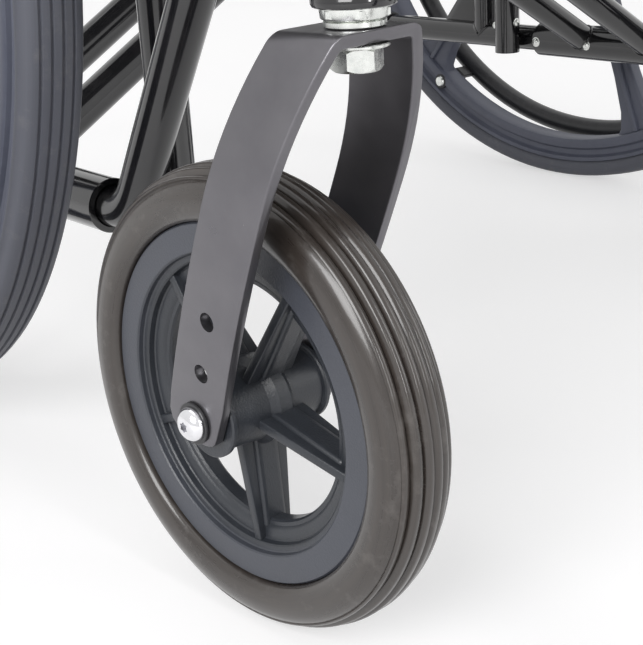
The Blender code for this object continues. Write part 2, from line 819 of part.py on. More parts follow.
def caster_fork():
    """A flat strap bent over the wheel, its arms leaning back to the axle."""
    bm = bmesh.new()
    half = fork_stations()
    rings = []
    for sign, row in [(-1, s) for s in half] + [(1, s) for s in reversed(half)]:
        xo, xi, zo, zi, front, rear = row
        rings.append([
            bm.verts.new((sign * xo, rear, zo)), bm.verts.new((sign * xo, front, zo)),
            bm.verts.new((sign * xi, front, zi)), bm.verts.new((sign * xi, rear, zi)),
        ])
    for a, b in zip(rings, rings[1:]):
        for k in range(4):
            bm.faces.new((a[k], a[(k + 1) % 4], b[(k + 1) % 4], b[k]))
    bm.faces.new(rings[0])
    bm.faces.new(rings[-1])
    strap = shifted(from_bmesh(bm), 0, caster_trail, caster_radius)
    lean = math.radians(fork_lean)
    holes = []
    for index in range(3):
        along = index * axle_hole_pitch
        radius = caster_axle_radius + (bore_play if index == 0 else -0.0004)
        holes.append(shifted(rod(-0.06, 0.06, radius, 8 if index else 12), 0,
                             caster_trail - math.sin(lean) * along,
                             caster_radius + math.cos(lean) * along))
    holes.append(cylinder("Z", 0.2, 0.3, stem_radius + bore_play, 12))
    return cut(strap, *holes)


def fork_top():
    """Height of the fork's top face above the floor."""
    return caster_radius + max(row[2] for row in fork_stations())


def caster_stem():
    top = fork_top() + gap
    flat = housing_bottom - gap
    washer = top + 0.0022
    shape = [
        (top - fork_plate - 0.016, 0.0), (top - fork_plate - 0.016, stem_radius),
        (top, stem_radius), (top, 0.0125), (washer, 0.0125), (washer, 0.0105),
        (flat, 0.0105), (flat, stem_radius), (stem_top - 0.002, stem_radius), (stem_top, 0.0),
    ]
    return turn_to(turned(shape, 12), "Z")


def stem_nut():
    top = fork_top() - fork_plate - gap
    washer = cut(rod(top - 0.0018, top, 0.0115, 16), rod(0, 1, stem_radius + gap, 12))
    nut = hexagon_nut(top - 0.0110, top - 0.0017, 0.0185, stem_radius + gap)
    return turn_to(join(washer, nut), "Z")


def caster_rim():
    """Five ribbed spokes between a stepped rim and the hub barrel."""
    half, seat = rim_half_width, rim_seat_radius
    rim = turned([
        (-half, seat), (-half, 0.0655), (-half + 0.0050, 0.0600), (-0.0035, 0.0525),
        (0.0035, 0.0525), (half - 0.0050, 0.0600), (half, 0.0655), (half, seat),
    ], caster_segments)
    barrel = rod(-caster_hub_half, caster_hub_half, caster_hub_radius + 0.0010, 12)
    web = rod(-0.0030, 0.0030, 0.0260, 12)
    pieces = [barrel, web]
    for index in range(spoke_count):
        flange = slab([(-0.0085, -0.018), (0.0085, -0.018), (0.0105, -0.056), (-0.0105, -0.056)],
                      -0.0030, 0.0030)
        rib = slab([(-0.0022, -0.012), (0.0022, -0.012), (0.0018, -0.057), (-0.0018, -0.057)],
                   -0.0105, 0.0105)
        turn = Matrix.Rotation(math.radians(-spoke_phase - 360 / spoke_count * index), 4, "X")
        pieces += [moved(flange, turn), moved(rib, turn)]
    wheel = cut(join(rim, *pieces), rod(-0.05, 0.05, caster_axle_radius + bore_play, 12))
    return shifted(wheel, 0, caster_trail, caster_radius)


def caster_tyre():
    """A solid tyre with ribs round its crown."""
    half, seat, wide = rim_half_width, rim_seat_radius + gap, caster_half_width
    half_profile = [
        (-half, seat), (-wide + 0.0006, seat + 0.0050), (-wide + 0.0004, caster_radius - 0.0080),
        (-wide + 0.0056, caster_radius - 0.0022), (-0.0072, caster_radius - 0.0006),
        (-0.0060, caster_radius - 0.0022), (-0.0048, caster_radius),
    ]
    profile = half_profile + [(-x, r) for x, r in reversed(half_profile)]
    return shifted(turned(profile, caster_segments), 0, caster_trail, caster_radius)


def caster_axle():
    """The axle bolt: a button head on the outer side and a nut on the inner side."""
    face = fork_half_width + gap
    shape = [
        (-face - 0.008, 0.0), (-face - 0.008, 0.0070), (-face, 0.0078),
        (-face, caster_axle_radius), (face, caster_axle_radius), (face, 0.0088),
        (face + 0.0014, 0.0088), (face + 0.0014, 0.0073), (face + 0.0040, 0.0062),
        (face + 0.0060, 0.0),
    ]
    return shifted(turned(shape, 12), 0, caster_trail, caster_radius)


# Footrests

def hanger_direction():
    slope = math.radians(hanger_slope)
    return Vector((0, -math.cos(slope), -math.sin(slope)))


def footrest_hanger():
    path = [
        (frame_x, hanger_y, hanger_bottom), (frame_x, hanger_y, hanger_top),
        (frame_x, hanger_knee_y, hanger_top), (frame_x, hanger_end_y, hanger_end),
    ]
    first = rounded(path[:3], 0.028, 3)
    second = rounded(path[1:], 0.026, 3)
    bar = swept(first[:-1] + second[1:], hanger_tube, thin_tube_sides)
    ears = []
    for level in (hinge_lower, hinge_upper):
        ear = slab(rounded_outline(frame_x - 0.0085, hanger_y, frame_x + 0.0085,
                                   hanger_axis_y + 0.0085, 0.006, 1),
                   level, level + hinge_plate, "XY")
        ears.append(ear)
    holes = [shifted(cylinder("Z", level - 0.004, level + 0.012, hinge_pin + 2 * bore_play, 8),
                     frame_x, hanger_axis_y) for level in (hinge_lower, hinge_upper)]
    end = Vector((frame_x, hanger_end_y, hanger_end))
    socket = tube([end - hanger_direction() * (post_insert + 0.002),
                   end + hanger_direction() * 0.01], post_radius + bore_play, sides=8)
    stud = shifted(rod(frame_x - hanger_tube - gap - 0.0060, frame_x - 0.002, latch_stud, 12),
                   0, hanger_y, latch_height)
    return cut(join(bar, stud, *ears), *holes, socket)


def footrest_post():
    end = Vector((frame_x, hanger_end_y, hanger_end))
    foot = Vector((frame_x, post_end_y, footplate_axis_height))
    stem = tube([end - hanger_direction() * post_insert, foot], post_radius, sides=8)
    half = footplate_length / 2
    bar = shifted(cylinder("Y", -half + 0.004, half - 0.004, hinge_rod, 8),
                  frame_x, post_end_y, footplate_axis_height)
    return join(stem, bar)


def footplate():
    """Built folded up: the plate stands inboard of the hanger and its hinge is on the rod."""
    half = footplate_length / 2
    x = frame_x - footplate_drop
    z = footplate_axis_height
    outline = rounded_outline(post_end_y - half, z + 0.012, post_end_y + half,
                              z + 0.012 + footplate_width, 0.022, 3)
    plate = slab(outline, x - footplate_thickness / 2, x + footplate_thickness / 2)
    ribs = []
    for index in range(3):
        y = post_end_y + (index - 1) * footplate_length * 0.28
        ribs.append(block((x - footplate_thickness / 2 - 0.006, y - 0.002, z + 0.020),
                          (x, y + 0.002, z + footplate_width - 0.010)))
    knuckles = []
    for side in (-1, 1):
        y0 = post_end_y + side * (half - 0.026)
        ring = shifted(cylinder("Y", -0.018, 0.018, hinge_rod + 0.0045, 12), frame_x, y0, z)
        leaf = block((x - footplate_thickness / 2, y0 - 0.018, z - 0.006),
                     (frame_x, y0 + 0.018, z + 0.006))
        web = block((x - footplate_thickness / 2, y0 - 0.018, z - 0.006),
                    (x + footplate_thickness / 2, y0 + 0.018, z + 0.030))
        knuckles += [ring, leaf, web]
    hole = shifted(cylinder("Y", -0.1, 0.1, hinge_rod + 2 * bore_play, 8), frame_x, post_end_y, z)
    return cut(join(plate, *ribs, *knuckles), hole)


def footrest_latch():
    """A finger lever on the inboard side of the hanger, hooked towards the upright."""
    outline = [
        (-tube_radius - 0.0012, 0.418), (-tube_radius - 0.0012, 0.428),
        (hanger_y - 0.006, 0.434), (hanger_y - 0.036, 0.450), (hanger_y - 0.052, 0.466),
        (hanger_y - 0.058, 0.461), (hanger_y - 0.040, 0.440), (hanger_y - 0.006, 0.420),
    ]
    inner = frame_x - hanger_tube - gap
    lever = slab(outline, inner - 0.0035, inner)
    tab = block((inner - 0.018, hanger_y - 0.058, 0.459),
                (inner - 0.002, hanger_y - 0.046, 0.463))
    hole = shifted(rod(inner - 0.02, inner + 0.02, latch_stud + bore_play, 12),
                   0, hanger_y, latch_height)
    return cut(join(lever, tab), hole)


# Wheel locks

def lock_bracket():
    inner = frame_x + tube_radius + gap
    outline = [
        (lock_lever_y - 0.016, 0.426), (lock_shoe_y - 0.010, 0.406), (lock_shoe_y + 0.012, 0.406),
        (lock_shoe_y + 0.014, 0.440), (lock_lever_y + 0.014, 0.474), (lock_lever_y - 0.016, 0.474),
    ]
    plate = slab(outline, inner, inner + lock_plate)
    lever_face = lock_lever_face()
    studs = [
        shifted(rod(inner + 0.001, lever_face - gap, lock_stud + 0.002, 12),
                0, lock_lever_y, lock_lever_z),
        shifted(rod(lever_face - gap - 0.001, lever_face + lock_plate + 0.003, lock_stud, 12),
                0, lock_lever_y, lock_lever_z),
        shifted(rod(inner + 0.001, inner + lock_plate + gap + lock_plate + 0.003, lock_stud, 12),
                0, lock_shoe_y, lock_shoe_z),
    ]
    return join(plate, *studs)


def lock_lever_face():
    return arm_x + arm_tube + 0.010


def lock_lever():
    """Pushed forward to lock. Its plate passes outboard of the arm."""
    low = lock_lever_face()
    tip_y = lock_lever_y + 0.018
    tip_z = lock_lever_z + lock_lever_length
    arm = slab([
        (lock_lever_y - 0.011, lock_lever_z - 0.010), (lock_lever_y + 0.011, lock_lever_z - 0.010),
        (lock_lever_y + 0.012, lock_lever_z + 0.012), (tip_y + 0.006, tip_z),
        (tip_y - 0.006, tip_z), (lock_lever_y - 0.010, lock_lever_z + 0.012),
    ], low, low + lock_plate)
    knob = shifted(cylinder("Z", tip_z - 0.050, tip_z + 0.008, 0.0095, 12),
                   low + lock_plate / 2, tip_y - 0.002)
    hole = shifted(rod(low - 0.02, low + 0.02, lock_stud + bore_play, 12),
                   0, lock_lever_y, lock_lever_z)
    return cut(join(arm, knob), hole)


def lock_shoe():
    """The arm that presses its bar on the tyre's tread."""
    low = frame_x + tube_radius + gap + lock_plate + gap
    arm = slab([
        (lock_shoe_y - 0.009, lock_shoe_z - 0.008), (lock_shoe_y + 0.009, lock_shoe_z - 0.008),
        (lock_bar_y + 0.005, lock_bar_z), (lock_bar_y, lock_bar_z + 0.005),
        (lock_bar_y - 0.007, lock_bar_z + 0.002), (lock_shoe_y - 0.009, lock_shoe_z + 0.008),
    ], low, low + lock_plate)
    bar = shifted(rod(low + 0.001, wheel_x + wheel_tyre_half, lock_bar_radius, 12),
                  0, lock_bar_y, lock_bar_z)
    hole = shifted(rod(low - 0.02, low + 0.02, lock_stud + bore_play, 12),
                   0, lock_shoe_y, lock_shoe_z)
    return cut(join(arm, bar), hole)


# The chair: left and right pieces are mirror images

def make_side(side):
    word = "left" if side > 0 else "right"

    def place(name, mesh, look, origin=(0, 0, 0)):
        x, y, z = origin
        return finish(f"{name}_{word}", on_side(mesh, side), look, (side * x, y, z))

    place("side_frame", side_frame(), gloss_black)
    place("seat_saddle_front", seat_saddle(front_post_y), nylon)
    place("seat_saddle_rear", seat_saddle(rear_post_y), nylon)
    place("hand_grip", hand_grip(), moulded_black)
    place("rail_cap", rail_cap(), moulded_black)

    hub = (wheel_x, wheel_y, wheel_radius)
    place("rear_wheel", rear_wheel(), moulded_grey, hub)
    place("rear_tyre", rear_tyre(), rubber_grey, hub)
    place("hand_rim", hand_rim(), satin_black, hub)
    place("rear_axle", rear_axle(), zinc, hub)

    arm_axis = (arm_x, cane_y, arm_pivot_height)
    place("arm_frame", arm_frame(), gloss_black, arm_axis)
    place("arm_pad", arm_pad(), vinyl, arm_axis)
    place("skirt_guard", skirt_guard(), moulded_black, arm_axis)
    place("arm_pivot_bolt", arm_bolt(), zinc, arm_axis)

    swing = (frame_x, hanger_axis_y, hinge_lower)
    flip = (frame_x, post_end_y, footplate_axis_height)
    place("footrest_hanger", footrest_hanger(), gloss_black, swing)
    place("footrest_post", footrest_post(), satin_black, swing)
    place("footplate", footplate(), moulded_black, flip)
    place("footrest_latch", footrest_latch(), satin_black, (frame_x, hanger_y, latch_height))

    place("wheel_lock_bracket", lock_bracket(), satin_black)
    place("wheel_lock_lever", lock_lever(), satin_black, (wheel_x, lock_lever_y, lock_lever_z))
    place("wheel_lock_shoe", lock_shoe(), zinc, (wheel_x, lock_shoe_y, lock_shoe_z))

    turn = Matrix.Rotation(math.radians(caster_turn), 4, "Z")
    stem = Vector((side * caster_x, 0, 0))
    hub = stem + turn @ Vector((0, caster_trail, caster_radius))
    pieces = (
        ("caster_fork", caster_fork(), satin_black, stem),
        ("caster_stem", caster_stem(), zinc, stem),
        ("caster_stem_nut", stem_nut(), zinc, stem),
        ("caster_axle", caster_axle(), chrome, hub),
        ("caster_wheel", caster_rim(), moulded_grey, hub),
        ("caster_tyre", caster_tyre(), rubber_brown, hub),
    )
    for name, mesh, look, origin in pieces:
        placed = moved(on_side(mesh, side), Matrix.Translation(stem) @ turn)
        finish(f"{name}_{word}", placed, look, origin)


def make_middle():
    foot = (-frame_x, 0, rail_height)
    centre = (0, 0, brace_centre_z)
    right = on_side(cross_brace(right_brace_ys), -1)
    finish("cross_brace_right", right, gloss_black, foot)
    finish("cross_brace_left", cross_brace(left_brace_ys), gloss_black, centre)
    finish("brace_pivot_bolt", pivot_bolt(), zinc, centre)
    finish("brace_pivot_nut", pivot_nut(), zinc, centre)
    finish("seat_upholstery", seat_sling(), vinyl)
    finish("back_upholstery", back_sling(), vinyl)


for side in (1, -1):
    make_side(side)
make_middle()
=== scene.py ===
import math

import bmesh
import bpy
from mathutils import Matrix, Vector


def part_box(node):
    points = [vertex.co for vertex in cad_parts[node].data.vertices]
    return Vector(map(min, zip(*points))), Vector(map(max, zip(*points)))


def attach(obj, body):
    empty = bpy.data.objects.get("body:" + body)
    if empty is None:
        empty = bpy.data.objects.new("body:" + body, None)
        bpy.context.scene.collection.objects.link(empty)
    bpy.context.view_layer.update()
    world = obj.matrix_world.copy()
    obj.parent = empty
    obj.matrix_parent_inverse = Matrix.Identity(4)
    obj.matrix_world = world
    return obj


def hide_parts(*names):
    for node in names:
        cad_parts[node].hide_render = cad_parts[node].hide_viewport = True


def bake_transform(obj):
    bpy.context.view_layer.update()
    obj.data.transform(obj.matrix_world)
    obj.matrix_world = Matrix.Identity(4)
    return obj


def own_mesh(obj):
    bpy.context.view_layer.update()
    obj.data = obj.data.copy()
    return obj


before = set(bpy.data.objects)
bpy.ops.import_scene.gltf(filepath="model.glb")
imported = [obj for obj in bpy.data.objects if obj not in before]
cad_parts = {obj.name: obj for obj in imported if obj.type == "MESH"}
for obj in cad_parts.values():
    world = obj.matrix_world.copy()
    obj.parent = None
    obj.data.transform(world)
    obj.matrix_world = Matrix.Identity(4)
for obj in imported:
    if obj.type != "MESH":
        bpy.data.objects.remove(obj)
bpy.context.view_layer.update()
bpy.context.scene.view_settings.view_transform = "Standard"
print("frame loaded")

# Metres. The chair faces -Y and its left side is +X. Sizes along Y start at the front uprights.
chair = {
    "frameX": 0.2906, "postX": 0.2696, "casterX": 0.3406, "wheelX": 0.3506, "armX": 0.3171,
    "tube": 0.0111, "thinTube": 0.0095, "tubeWall": 0.0018,
    "railZ": 0.139, "upperZ": 0.440, "seatRailZ": 0.470, "pivotZ": 0.3107, "armPivotZ": 0.478,
    "frontPostY": 0.230, "rearPostY": 0.486, "caneY": 0.532,
    "wheelRadius": 0.305, "casterRadius": 0.100, "casterTrail": 0.0685, "casterTurn": 3.5, "casterY": 0.0,
    "recline": 8.0, "reclineZ": 0.500, "handleZ": 0.905,
}
stemLow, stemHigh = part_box("caster_stem_right")
shiftY = (stemLow.y + stemHigh.y) / 2 - chair["casterY"]       # from the uprights' Y to the frame's
frameX, postX, casterX, armX = chair["frameX"], chair["postX"], chair["casterX"], chair["armX"]
wheelX, tubeR, thinR, tubeWall = chair["wheelX"], chair["tube"], chair["thinTube"], chair["tubeWall"]
railZ, upperZ, seatRailZ, reclineZ = chair["railZ"], chair["upperZ"], chair["seatRailZ"], chair["reclineZ"]
frontY, rearY, caneY, casterY = chair["frontPostY"], chair["rearPostY"], chair["caneY"], chair["casterY"]


# Small moves that every piece uses

def only(piece):
    bpy.ops.object.select_all(action="DESELECT")
    piece.select_set(True)
    bpy.context.view_layer.objects.active = piece


def edit(piece, everything=True):
    only(piece)
    bpy.ops.object.mode_set(mode="EDIT")
    bpy.ops.mesh.select_mode(type="VERT")
    bpy.ops.mesh.select_all(action="SELECT" if everything else "DESELECT")


def leave():
    bpy.ops.object.mode_set(mode="OBJECT")


def settle(piece):
    # Puts the place of the object into its mesh
    piece.data.transform(piece.matrix_basis)
    piece.data.update()
    piece.matrix_basis = Matrix.Identity(4)
    return piece


def place(piece, *steps):
    for step in steps:
        piece.data.transform(step)
    piece.data.update()
    return piece


def shift(piece, x=0.0, y=0.0, z=0.0):
    return place(piece, Matrix.Translation((x, y, z)))


def turn(piece, degrees, axis):
    return place(piece, Matrix.Rotation(math.radians(degrees), 4, axis))


def facing(piece, axis):
    # A piece made along X is stood along another axis
    if axis == "Z":
        turn(piece, -90, "Y")
    if axis == "Y":
        turn(piece, 90, "Z")
    return piece


def pick(piece, test):
    # Selects the faces whose middle and normal pass the test
    mesh = bmesh.from_edit_mesh(piece.data)
    mesh.faces.ensure_lookup_table()
    bpy.ops.mesh.select_mode(type="FACE")
    for face in mesh.faces:
        face.select_set(test(face.calc_center_median(), face.normal))
    bmesh.update_edit_mesh(piece.data)


def modify(piece, kind, **settings):
    bpy.context.view_layer.update()
    step = piece.modifiers.new("step", kind)
    for name, value in settings.items():
        setattr(step, name, value)
    only(piece)
    bpy.ops.object.modifier_apply(modifier=step.name)
    return piece


def bevel(piece, width, segments=2, angle=40):
    return modify(piece, "BEVEL", width=width, segments=segments, limit_method="ANGLE",
                  angle_limit=math.radians(angle), use_clamp_overlap=True)


def combine(operation, piece, tools):
    for tool in tools:
        modify(piece, "BOOLEAN", operation=operation, object=tool, solver="EXACT")
        bpy.data.objects.remove(tool, do_unlink=True)
    return piece


def weld(piece, *tools):
    return combine("UNION", piece, tools)


def cut(piece, *tools):
    return combine("DIFFERENCE", piece, tools)


def joined(*pieces):
    bpy.ops.object.select_all(action="DESELECT")
    for piece in pieces:
        piece.select_set(True)
    bpy.context.view_layer.objects.active = pieces[0]
    bpy.ops.object.join()
    return pieces[0]


def copied(piece):
    twin = piece.copy()
    twin.data = piece.data.copy()
    bpy.context.scene.collection.objects.link(twin)
    return twin


def chain(points):
    # A line of edges, drawn from point to point. Edit mode is left on, with the line selected.
    bpy.ops.object.select_all(action="DESELECT")
    bpy.ops.mesh.primitive_plane_add(size=0.001, location=points[0])
    piece = settle(bpy.context.object)
    edit(piece)
    bpy.ops.mesh.merge(type="CENTER")
    for before, after in zip(points, points[1:]):
        move = tuple(b - a for a, b in zip(before, after))
        bpy.ops.mesh.extrude_vertices_move(TRANSFORM_OT_translate={"value": move})
    bpy.ops.mesh.select_all(action="SELECT")
    return piece


def turned(profile, sides=48, axis="X", ring=False):
    # A turned piece. The profile is (place along the axis, radius), and a ring's closes on itself.
    points = list(profile) + ([profile[0]] if ring else [])
    piece = chain([(along, 0.0, radius) for along, radius in points])
    bpy.ops.mesh.spin(steps=sides, angle=math.tau, center=(0, 0, 0), axis=(1, 0, 0))
    bpy.ops.mesh.select_all(action="SELECT")
    bpy.ops.mesh.remove_doubles(threshold=2e-6)
    bpy.ops.mesh.normals_make_consistent(inside=False)
    leave()
    return facing(piece, axis)


def rod(low, high, radius, sides=24, axis="X", edge=0.0004):
    return turned([(low, 0), (low, radius - edge), (low + edge, radius), (high - edge, radius),
                   (high, radius - edge), (high, 0)], sides, axis)


def plate(outline, low, high, plane="YZ", soft=0.0006, segments=2):
    # A flat piece of this outline, with softened edges
    lay = {"YZ": lambda a, b: (low, a, b), "XY": lambda a, b: (a, b, low),
           "XZ": lambda a, b: (a, low, b)}[plane]
    away = {"YZ": (1, 0, 0), "XY": (0, 0, 1), "XZ": (0, 1, 0)}[plane]
    piece = chain([lay(*point) for point in list(outline) + [outline[0]]])
    bpy.ops.mesh.remove_doubles(threshold=1e-6)
    bpy.ops.mesh.select_all(action="SELECT")
    bpy.ops.mesh.edge_face_add()
    move = tuple(step * (high - low) for step in away)
    bpy.ops.mesh.extrude_region_move(TRANSFORM_OT_translate={"value": move})
    bpy.ops.mesh.select_all(action="SELECT")
    bpy.ops.mesh.normals_make_consistent(inside=False)
    leave()
    return bevel(piece, soft, segments) if soft else piece


def softened(corners, radius, steps=5):
    # An outline with rounded corners. The radius is one for all, or one for each corner.
    radii = radius if isinstance(radius, (list, tuple)) else [radius] * len(corners)
    outline = []
    for index, bend in enumerate(radii):
        corner = Vector(corners[index])
        into = (Vector(corners[index - 1]) - corner).normalized()
        out = (Vector(corners[(index + 1) % len(corners)]) - corner).normalized()
        if bend <= 0:
            outline.append(tuple(corner))
            continue
        half = into.angle(out) / 2
        centre = corner + (into + out).normalized() * (bend / math.sin(half))
        start = corner + into * (bend / math.tan(half)) - centre
        end = corner + out * (bend / math.tan(half)) - centre
        sweep = math.pi - 2 * half
        for step in range(steps + 1):
            t = step / steps
            spot = (start * math.sin((1 - t) * sweep) + end * math.sin(t * sweep)) / math.sin(sweep)
            outline.append(tuple(centre + spot))
    return outline


def oblong(a0, b0, a1, b1, radius, steps=5):
    return softened([(a0, b0), (a1, b0), (a1, b1), (a0, b1)], radius, steps)


def block(low, high, soft=0.0006):
    bpy.ops.object.select_all(action="DESELECT")
    middle = [(a + b) / 2 for a, b in zip(low, high)]
    bpy.ops.mesh.primitive_cube_add(size=1.0, location=middle)
    piece = bpy.context.object
    piece.scale = [b - a for a, b in zip(low, high)]
    bpy.context.view_layer.update()
    return bevel(settle(piece), soft)


def bentTube(path, radius, bend=0.0, sides=28, wall=0.0):
    # A tube along a path whose corners are bent to this radius. With a wall, its ends are open.
    points = [Vector(point) for point in path]
    bends = bend if isinstance(bend, (list, tuple)) else [bend] * len(points)
    heading = (points[1] - points[0]).normalized()
    bpy.ops.object.select_all(action="DESELECT")
    bpy.ops.mesh.primitive_circle_add(vertices=sides, radius=radius, location=points[0],
                                      rotation=heading.to_track_quat("Z", "Y").to_euler())
    piece = settle(bpy.context.object)
    edit(piece)
    at = points[0]
    for index in range(1, len(points)):
        corner = points[index]
        if index == len(points) - 1:
            bpy.ops.mesh.extrude_region_move(TRANSFORM_OT_translate={"value": corner - at})
            break
        out = (points[index + 1] - corner).normalized()
        angle = heading.angle(out)
        reach = bends[index - 1] * math.tan(angle / 2)
        start = corner - heading * reach
        bpy.ops.mesh.extrude_region_move(TRANSFORM_OT_translate={"value": start - at})
        upright = heading.cross(out).normalized()
        centre = start + upright.cross(heading) * bends[index - 1]
        bpy.ops.mesh.spin(steps=max(3, round(math.degrees(angle) / 7)), angle=angle,
                          center=centre, axis=-upright)
        at = corner + out * reach
        heading = out
    bpy.ops.mesh.select_all(action="SELECT")
    bpy.ops.mesh.fill_holes(sides=0)
    bpy.ops.mesh.normals_make_consistent(inside=False)
    leave()
    if wall:
        for end, inward in ((points[0], points[1] - points[0]), (points[-1], points[-2] - points[-1])):
            edit(piece, False)
            pick(piece, lambda middle, normal: (middle - end).length < radius / 3)
            bpy.ops.mesh.inset(thickness=wall)
            bpy.ops.mesh.extrude_region_move(
                TRANSFORM_OT_translate={"value": inward.normalized() * 0.014})
            leave()
    return piece


def wire(name, points, radius, ripple=0.0):
    # A closed wire through these points. A ripple makes it swell and shrink, as a weld does.
    line = bpy.data.curves.new(name, "CURVE")
    line.dimensions = "3D"
    line.bevel_depth = radius
    line.bevel_resolution = 2
    spline = line.splines.new("POLY")
    spline.points.add(len(points) - 1)
    for index, (point, at) in enumerate(zip(spline.points, points)):
        point.co = (*at, 1.0)
        point.radius = 1.0 + ripple * math.sin(index * 2.3)
    spline.use_cyclic_u = True
    piece = bpy.data.objects.new(name, line)
    bpy.context.scene.collection.objects.link(piece)
    only(piece)
    bpy.ops.object.convert(target="MESH")
    return bpy.context.object


def bead(branch, heading, branchR, main, along, mainR, size=0.0013):
    # The weld round the place where a tube meets another tube
    heading, along = Vector(heading).normalized(), Vector(along).normalized()
    branch, main = Vector(branch), Vector(main)
    side = heading.orthogonal().normalized()
    other = heading.cross(side)
    points, count = [], 40
    for step in range(count):
        angle = math.tau * step / count
        spot = branch + (side * math.cos(angle) + other * math.sin(angle)) * branchR - main
        flat, lead = spot - along * spot.dot(along), heading - along * heading.dot(along)
        a, b, c = lead.dot(lead), 2 * flat.dot(lead), flat.dot(flat) - (mainR * 1.0001) ** 2
        root = math.sqrt(max(0.0, b * b - 4 * a * c))
        points.append(spot + main + heading * (root - b) / (2 * a))
    return wire("bead", points, size, ripple=0.16)


def bothFaces(half):
    # A whole profile from the half on one side of the middle
    return half + [(-a, b) for a, b in reversed(half)]


def onCircle(radius, degrees):
    return radius * math.cos(math.radians(degrees)), radius * math.sin(math.radians(degrees))


def hexagon(low, high, acrossFlats, axis="X", bore=0.0):
    # A nut or a bolt's head: a hexagon with turned-off corners
    reach = acrossFlats / math.sqrt(3)
    outline = [onCircle(reach, 60 * k + 30) for k in range(6)]
    piece = plate(outline, low, high, "YZ", 0)
    lift = (high - low) * 0.16
    crown = turned([(low, 0), (low, acrossFlats * 0.49), (low + lift, reach * 1.01),
                    (high - lift, reach * 1.01), (high, acrossFlats * 0.49), (high, 0)], 48)
    combine("INTERSECT", piece, [crown])
    if bore:
        cut(piece, rod(low - 0.01, high + 0.01, bore, 24))
    return facing(piece, axis)


def finished(piece, name, body, finish, replaces=(), smooth=32):
    # The last steps of a piece: place, name, shading, material and the body it rides on
    shift(piece, 0, shiftY)
    piece.name = name
    piece.data.name = name
    only(piece)
    bpy.ops.object.shade_smooth_by_angle(angle=math.radians(smooth))
    piece.data.materials.clear()
    piece.data.materials.append(finishes[finish])
    if body:
        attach(piece, body)
    if replaces:
        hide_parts(*replaces)
    return piece


def mirrored(piece):
    twin = copied(piece)
    twin.data.transform(Matrix.Diagonal((-1, 1, 1, 1)))
    twin.data.flip_normals()
    twin.data.update()
    return twin


def bothSides(piece, name, body, finish, replaces=(), smooth=32, carry=None):
    # A piece made for the left side, and its mirror image for the right side
    made = []
    for word, one in (("left", piece), ("right", mirrored(piece))):
        if carry:
            carry(one, word)
        made.append(finished(one, f"{name}_{word}", f"{body}_{word}", finish,
                             [f"{node}_{word}" for node in replaces], smooth))
    return made


# Node groups: effects that several finishes share

def node(tree, kind, inputs=None, **settings):
    made = tree.nodes.new(kind)
    for name, value in settings.items():
        setattr(made, name, value)
    for name, value in (inputs or {}).items():
        if isinstance(value, bpy.types.NodeSocket):
            tree.links.new(value, made.inputs[name])
        else:
            made.inputs[name].default_value = value
    return made


def maths(tree, operation, a, b=0.0):
    return node(tree, "ShaderNodeMath", {0: a, 1: b}, operation=operation).outputs[0]


def spread(tree, value, fromLow, fromHigh, toLow, toHigh):
    return node(tree, "ShaderNodeMapRange", {"Value": value, "From Min": fromLow, "From Max": fromHigh,
                                             "To Min": toLow, "To Max": toHigh}).outputs[0]


def mixed(tree, factor, a, b):
    return node(tree, "ShaderNodeMix", {0: factor, 6: a, 7: b}, data_type="RGBA").outputs[2]


def noise(tree, vector, scale, detail=3.0, roughness=0.5):
    return node(tree, "ShaderNodeTexNoise", {"Vector": vector, "Scale": scale, "Detail": detail,
                                             "Roughness": roughness}).outputs[0]


def mapped(tree, vector, **settings):
    return node(tree, "ShaderNodeMapping", {"Vector": vector, **settings}).outputs[0]


def centred(tree, vector, centre):
    return mapped(tree, vector, Location=tuple(-c for c in centre))


def fromAxle(tree, vector):
    # A point's distance from the X axis, and its X, Y and Z
    parts = node(tree, "ShaderNodeSeparateXYZ", {0: vector}).outputs
    squares = [maths(tree, "MULTIPLY", parts[k], parts[k]) for k in (1, 2)]
    return maths(tree, "SQRT", maths(tree, "ADD", *squares)), parts


def clouds(tree, vector, scale, detail, roughness=0.5, low=0.3, high=0.7):
    # Slow changes from 0 to 1
    return spread(tree, noise(tree, vector, scale, detail, roughness), low, high, 0.0, 1.0)


def nodeGroup(name, inputs, outputs):
    tree = bpy.data.node_groups.new(name, "ShaderNodeTree")
    for label, kind, value in inputs:
        socket = tree.interface.new_socket(name=label, in_out="INPUT", socket_type=kind)
        if value is not None:
            socket.default_value = value
    for label, kind in outputs:
        tree.interface.new_socket(name=label, in_out="OUTPUT", socket_type=kind)
    return tree, tree.nodes.new("NodeGroupInput").outputs, tree.nodes.new("NodeGroupOutput").inputs


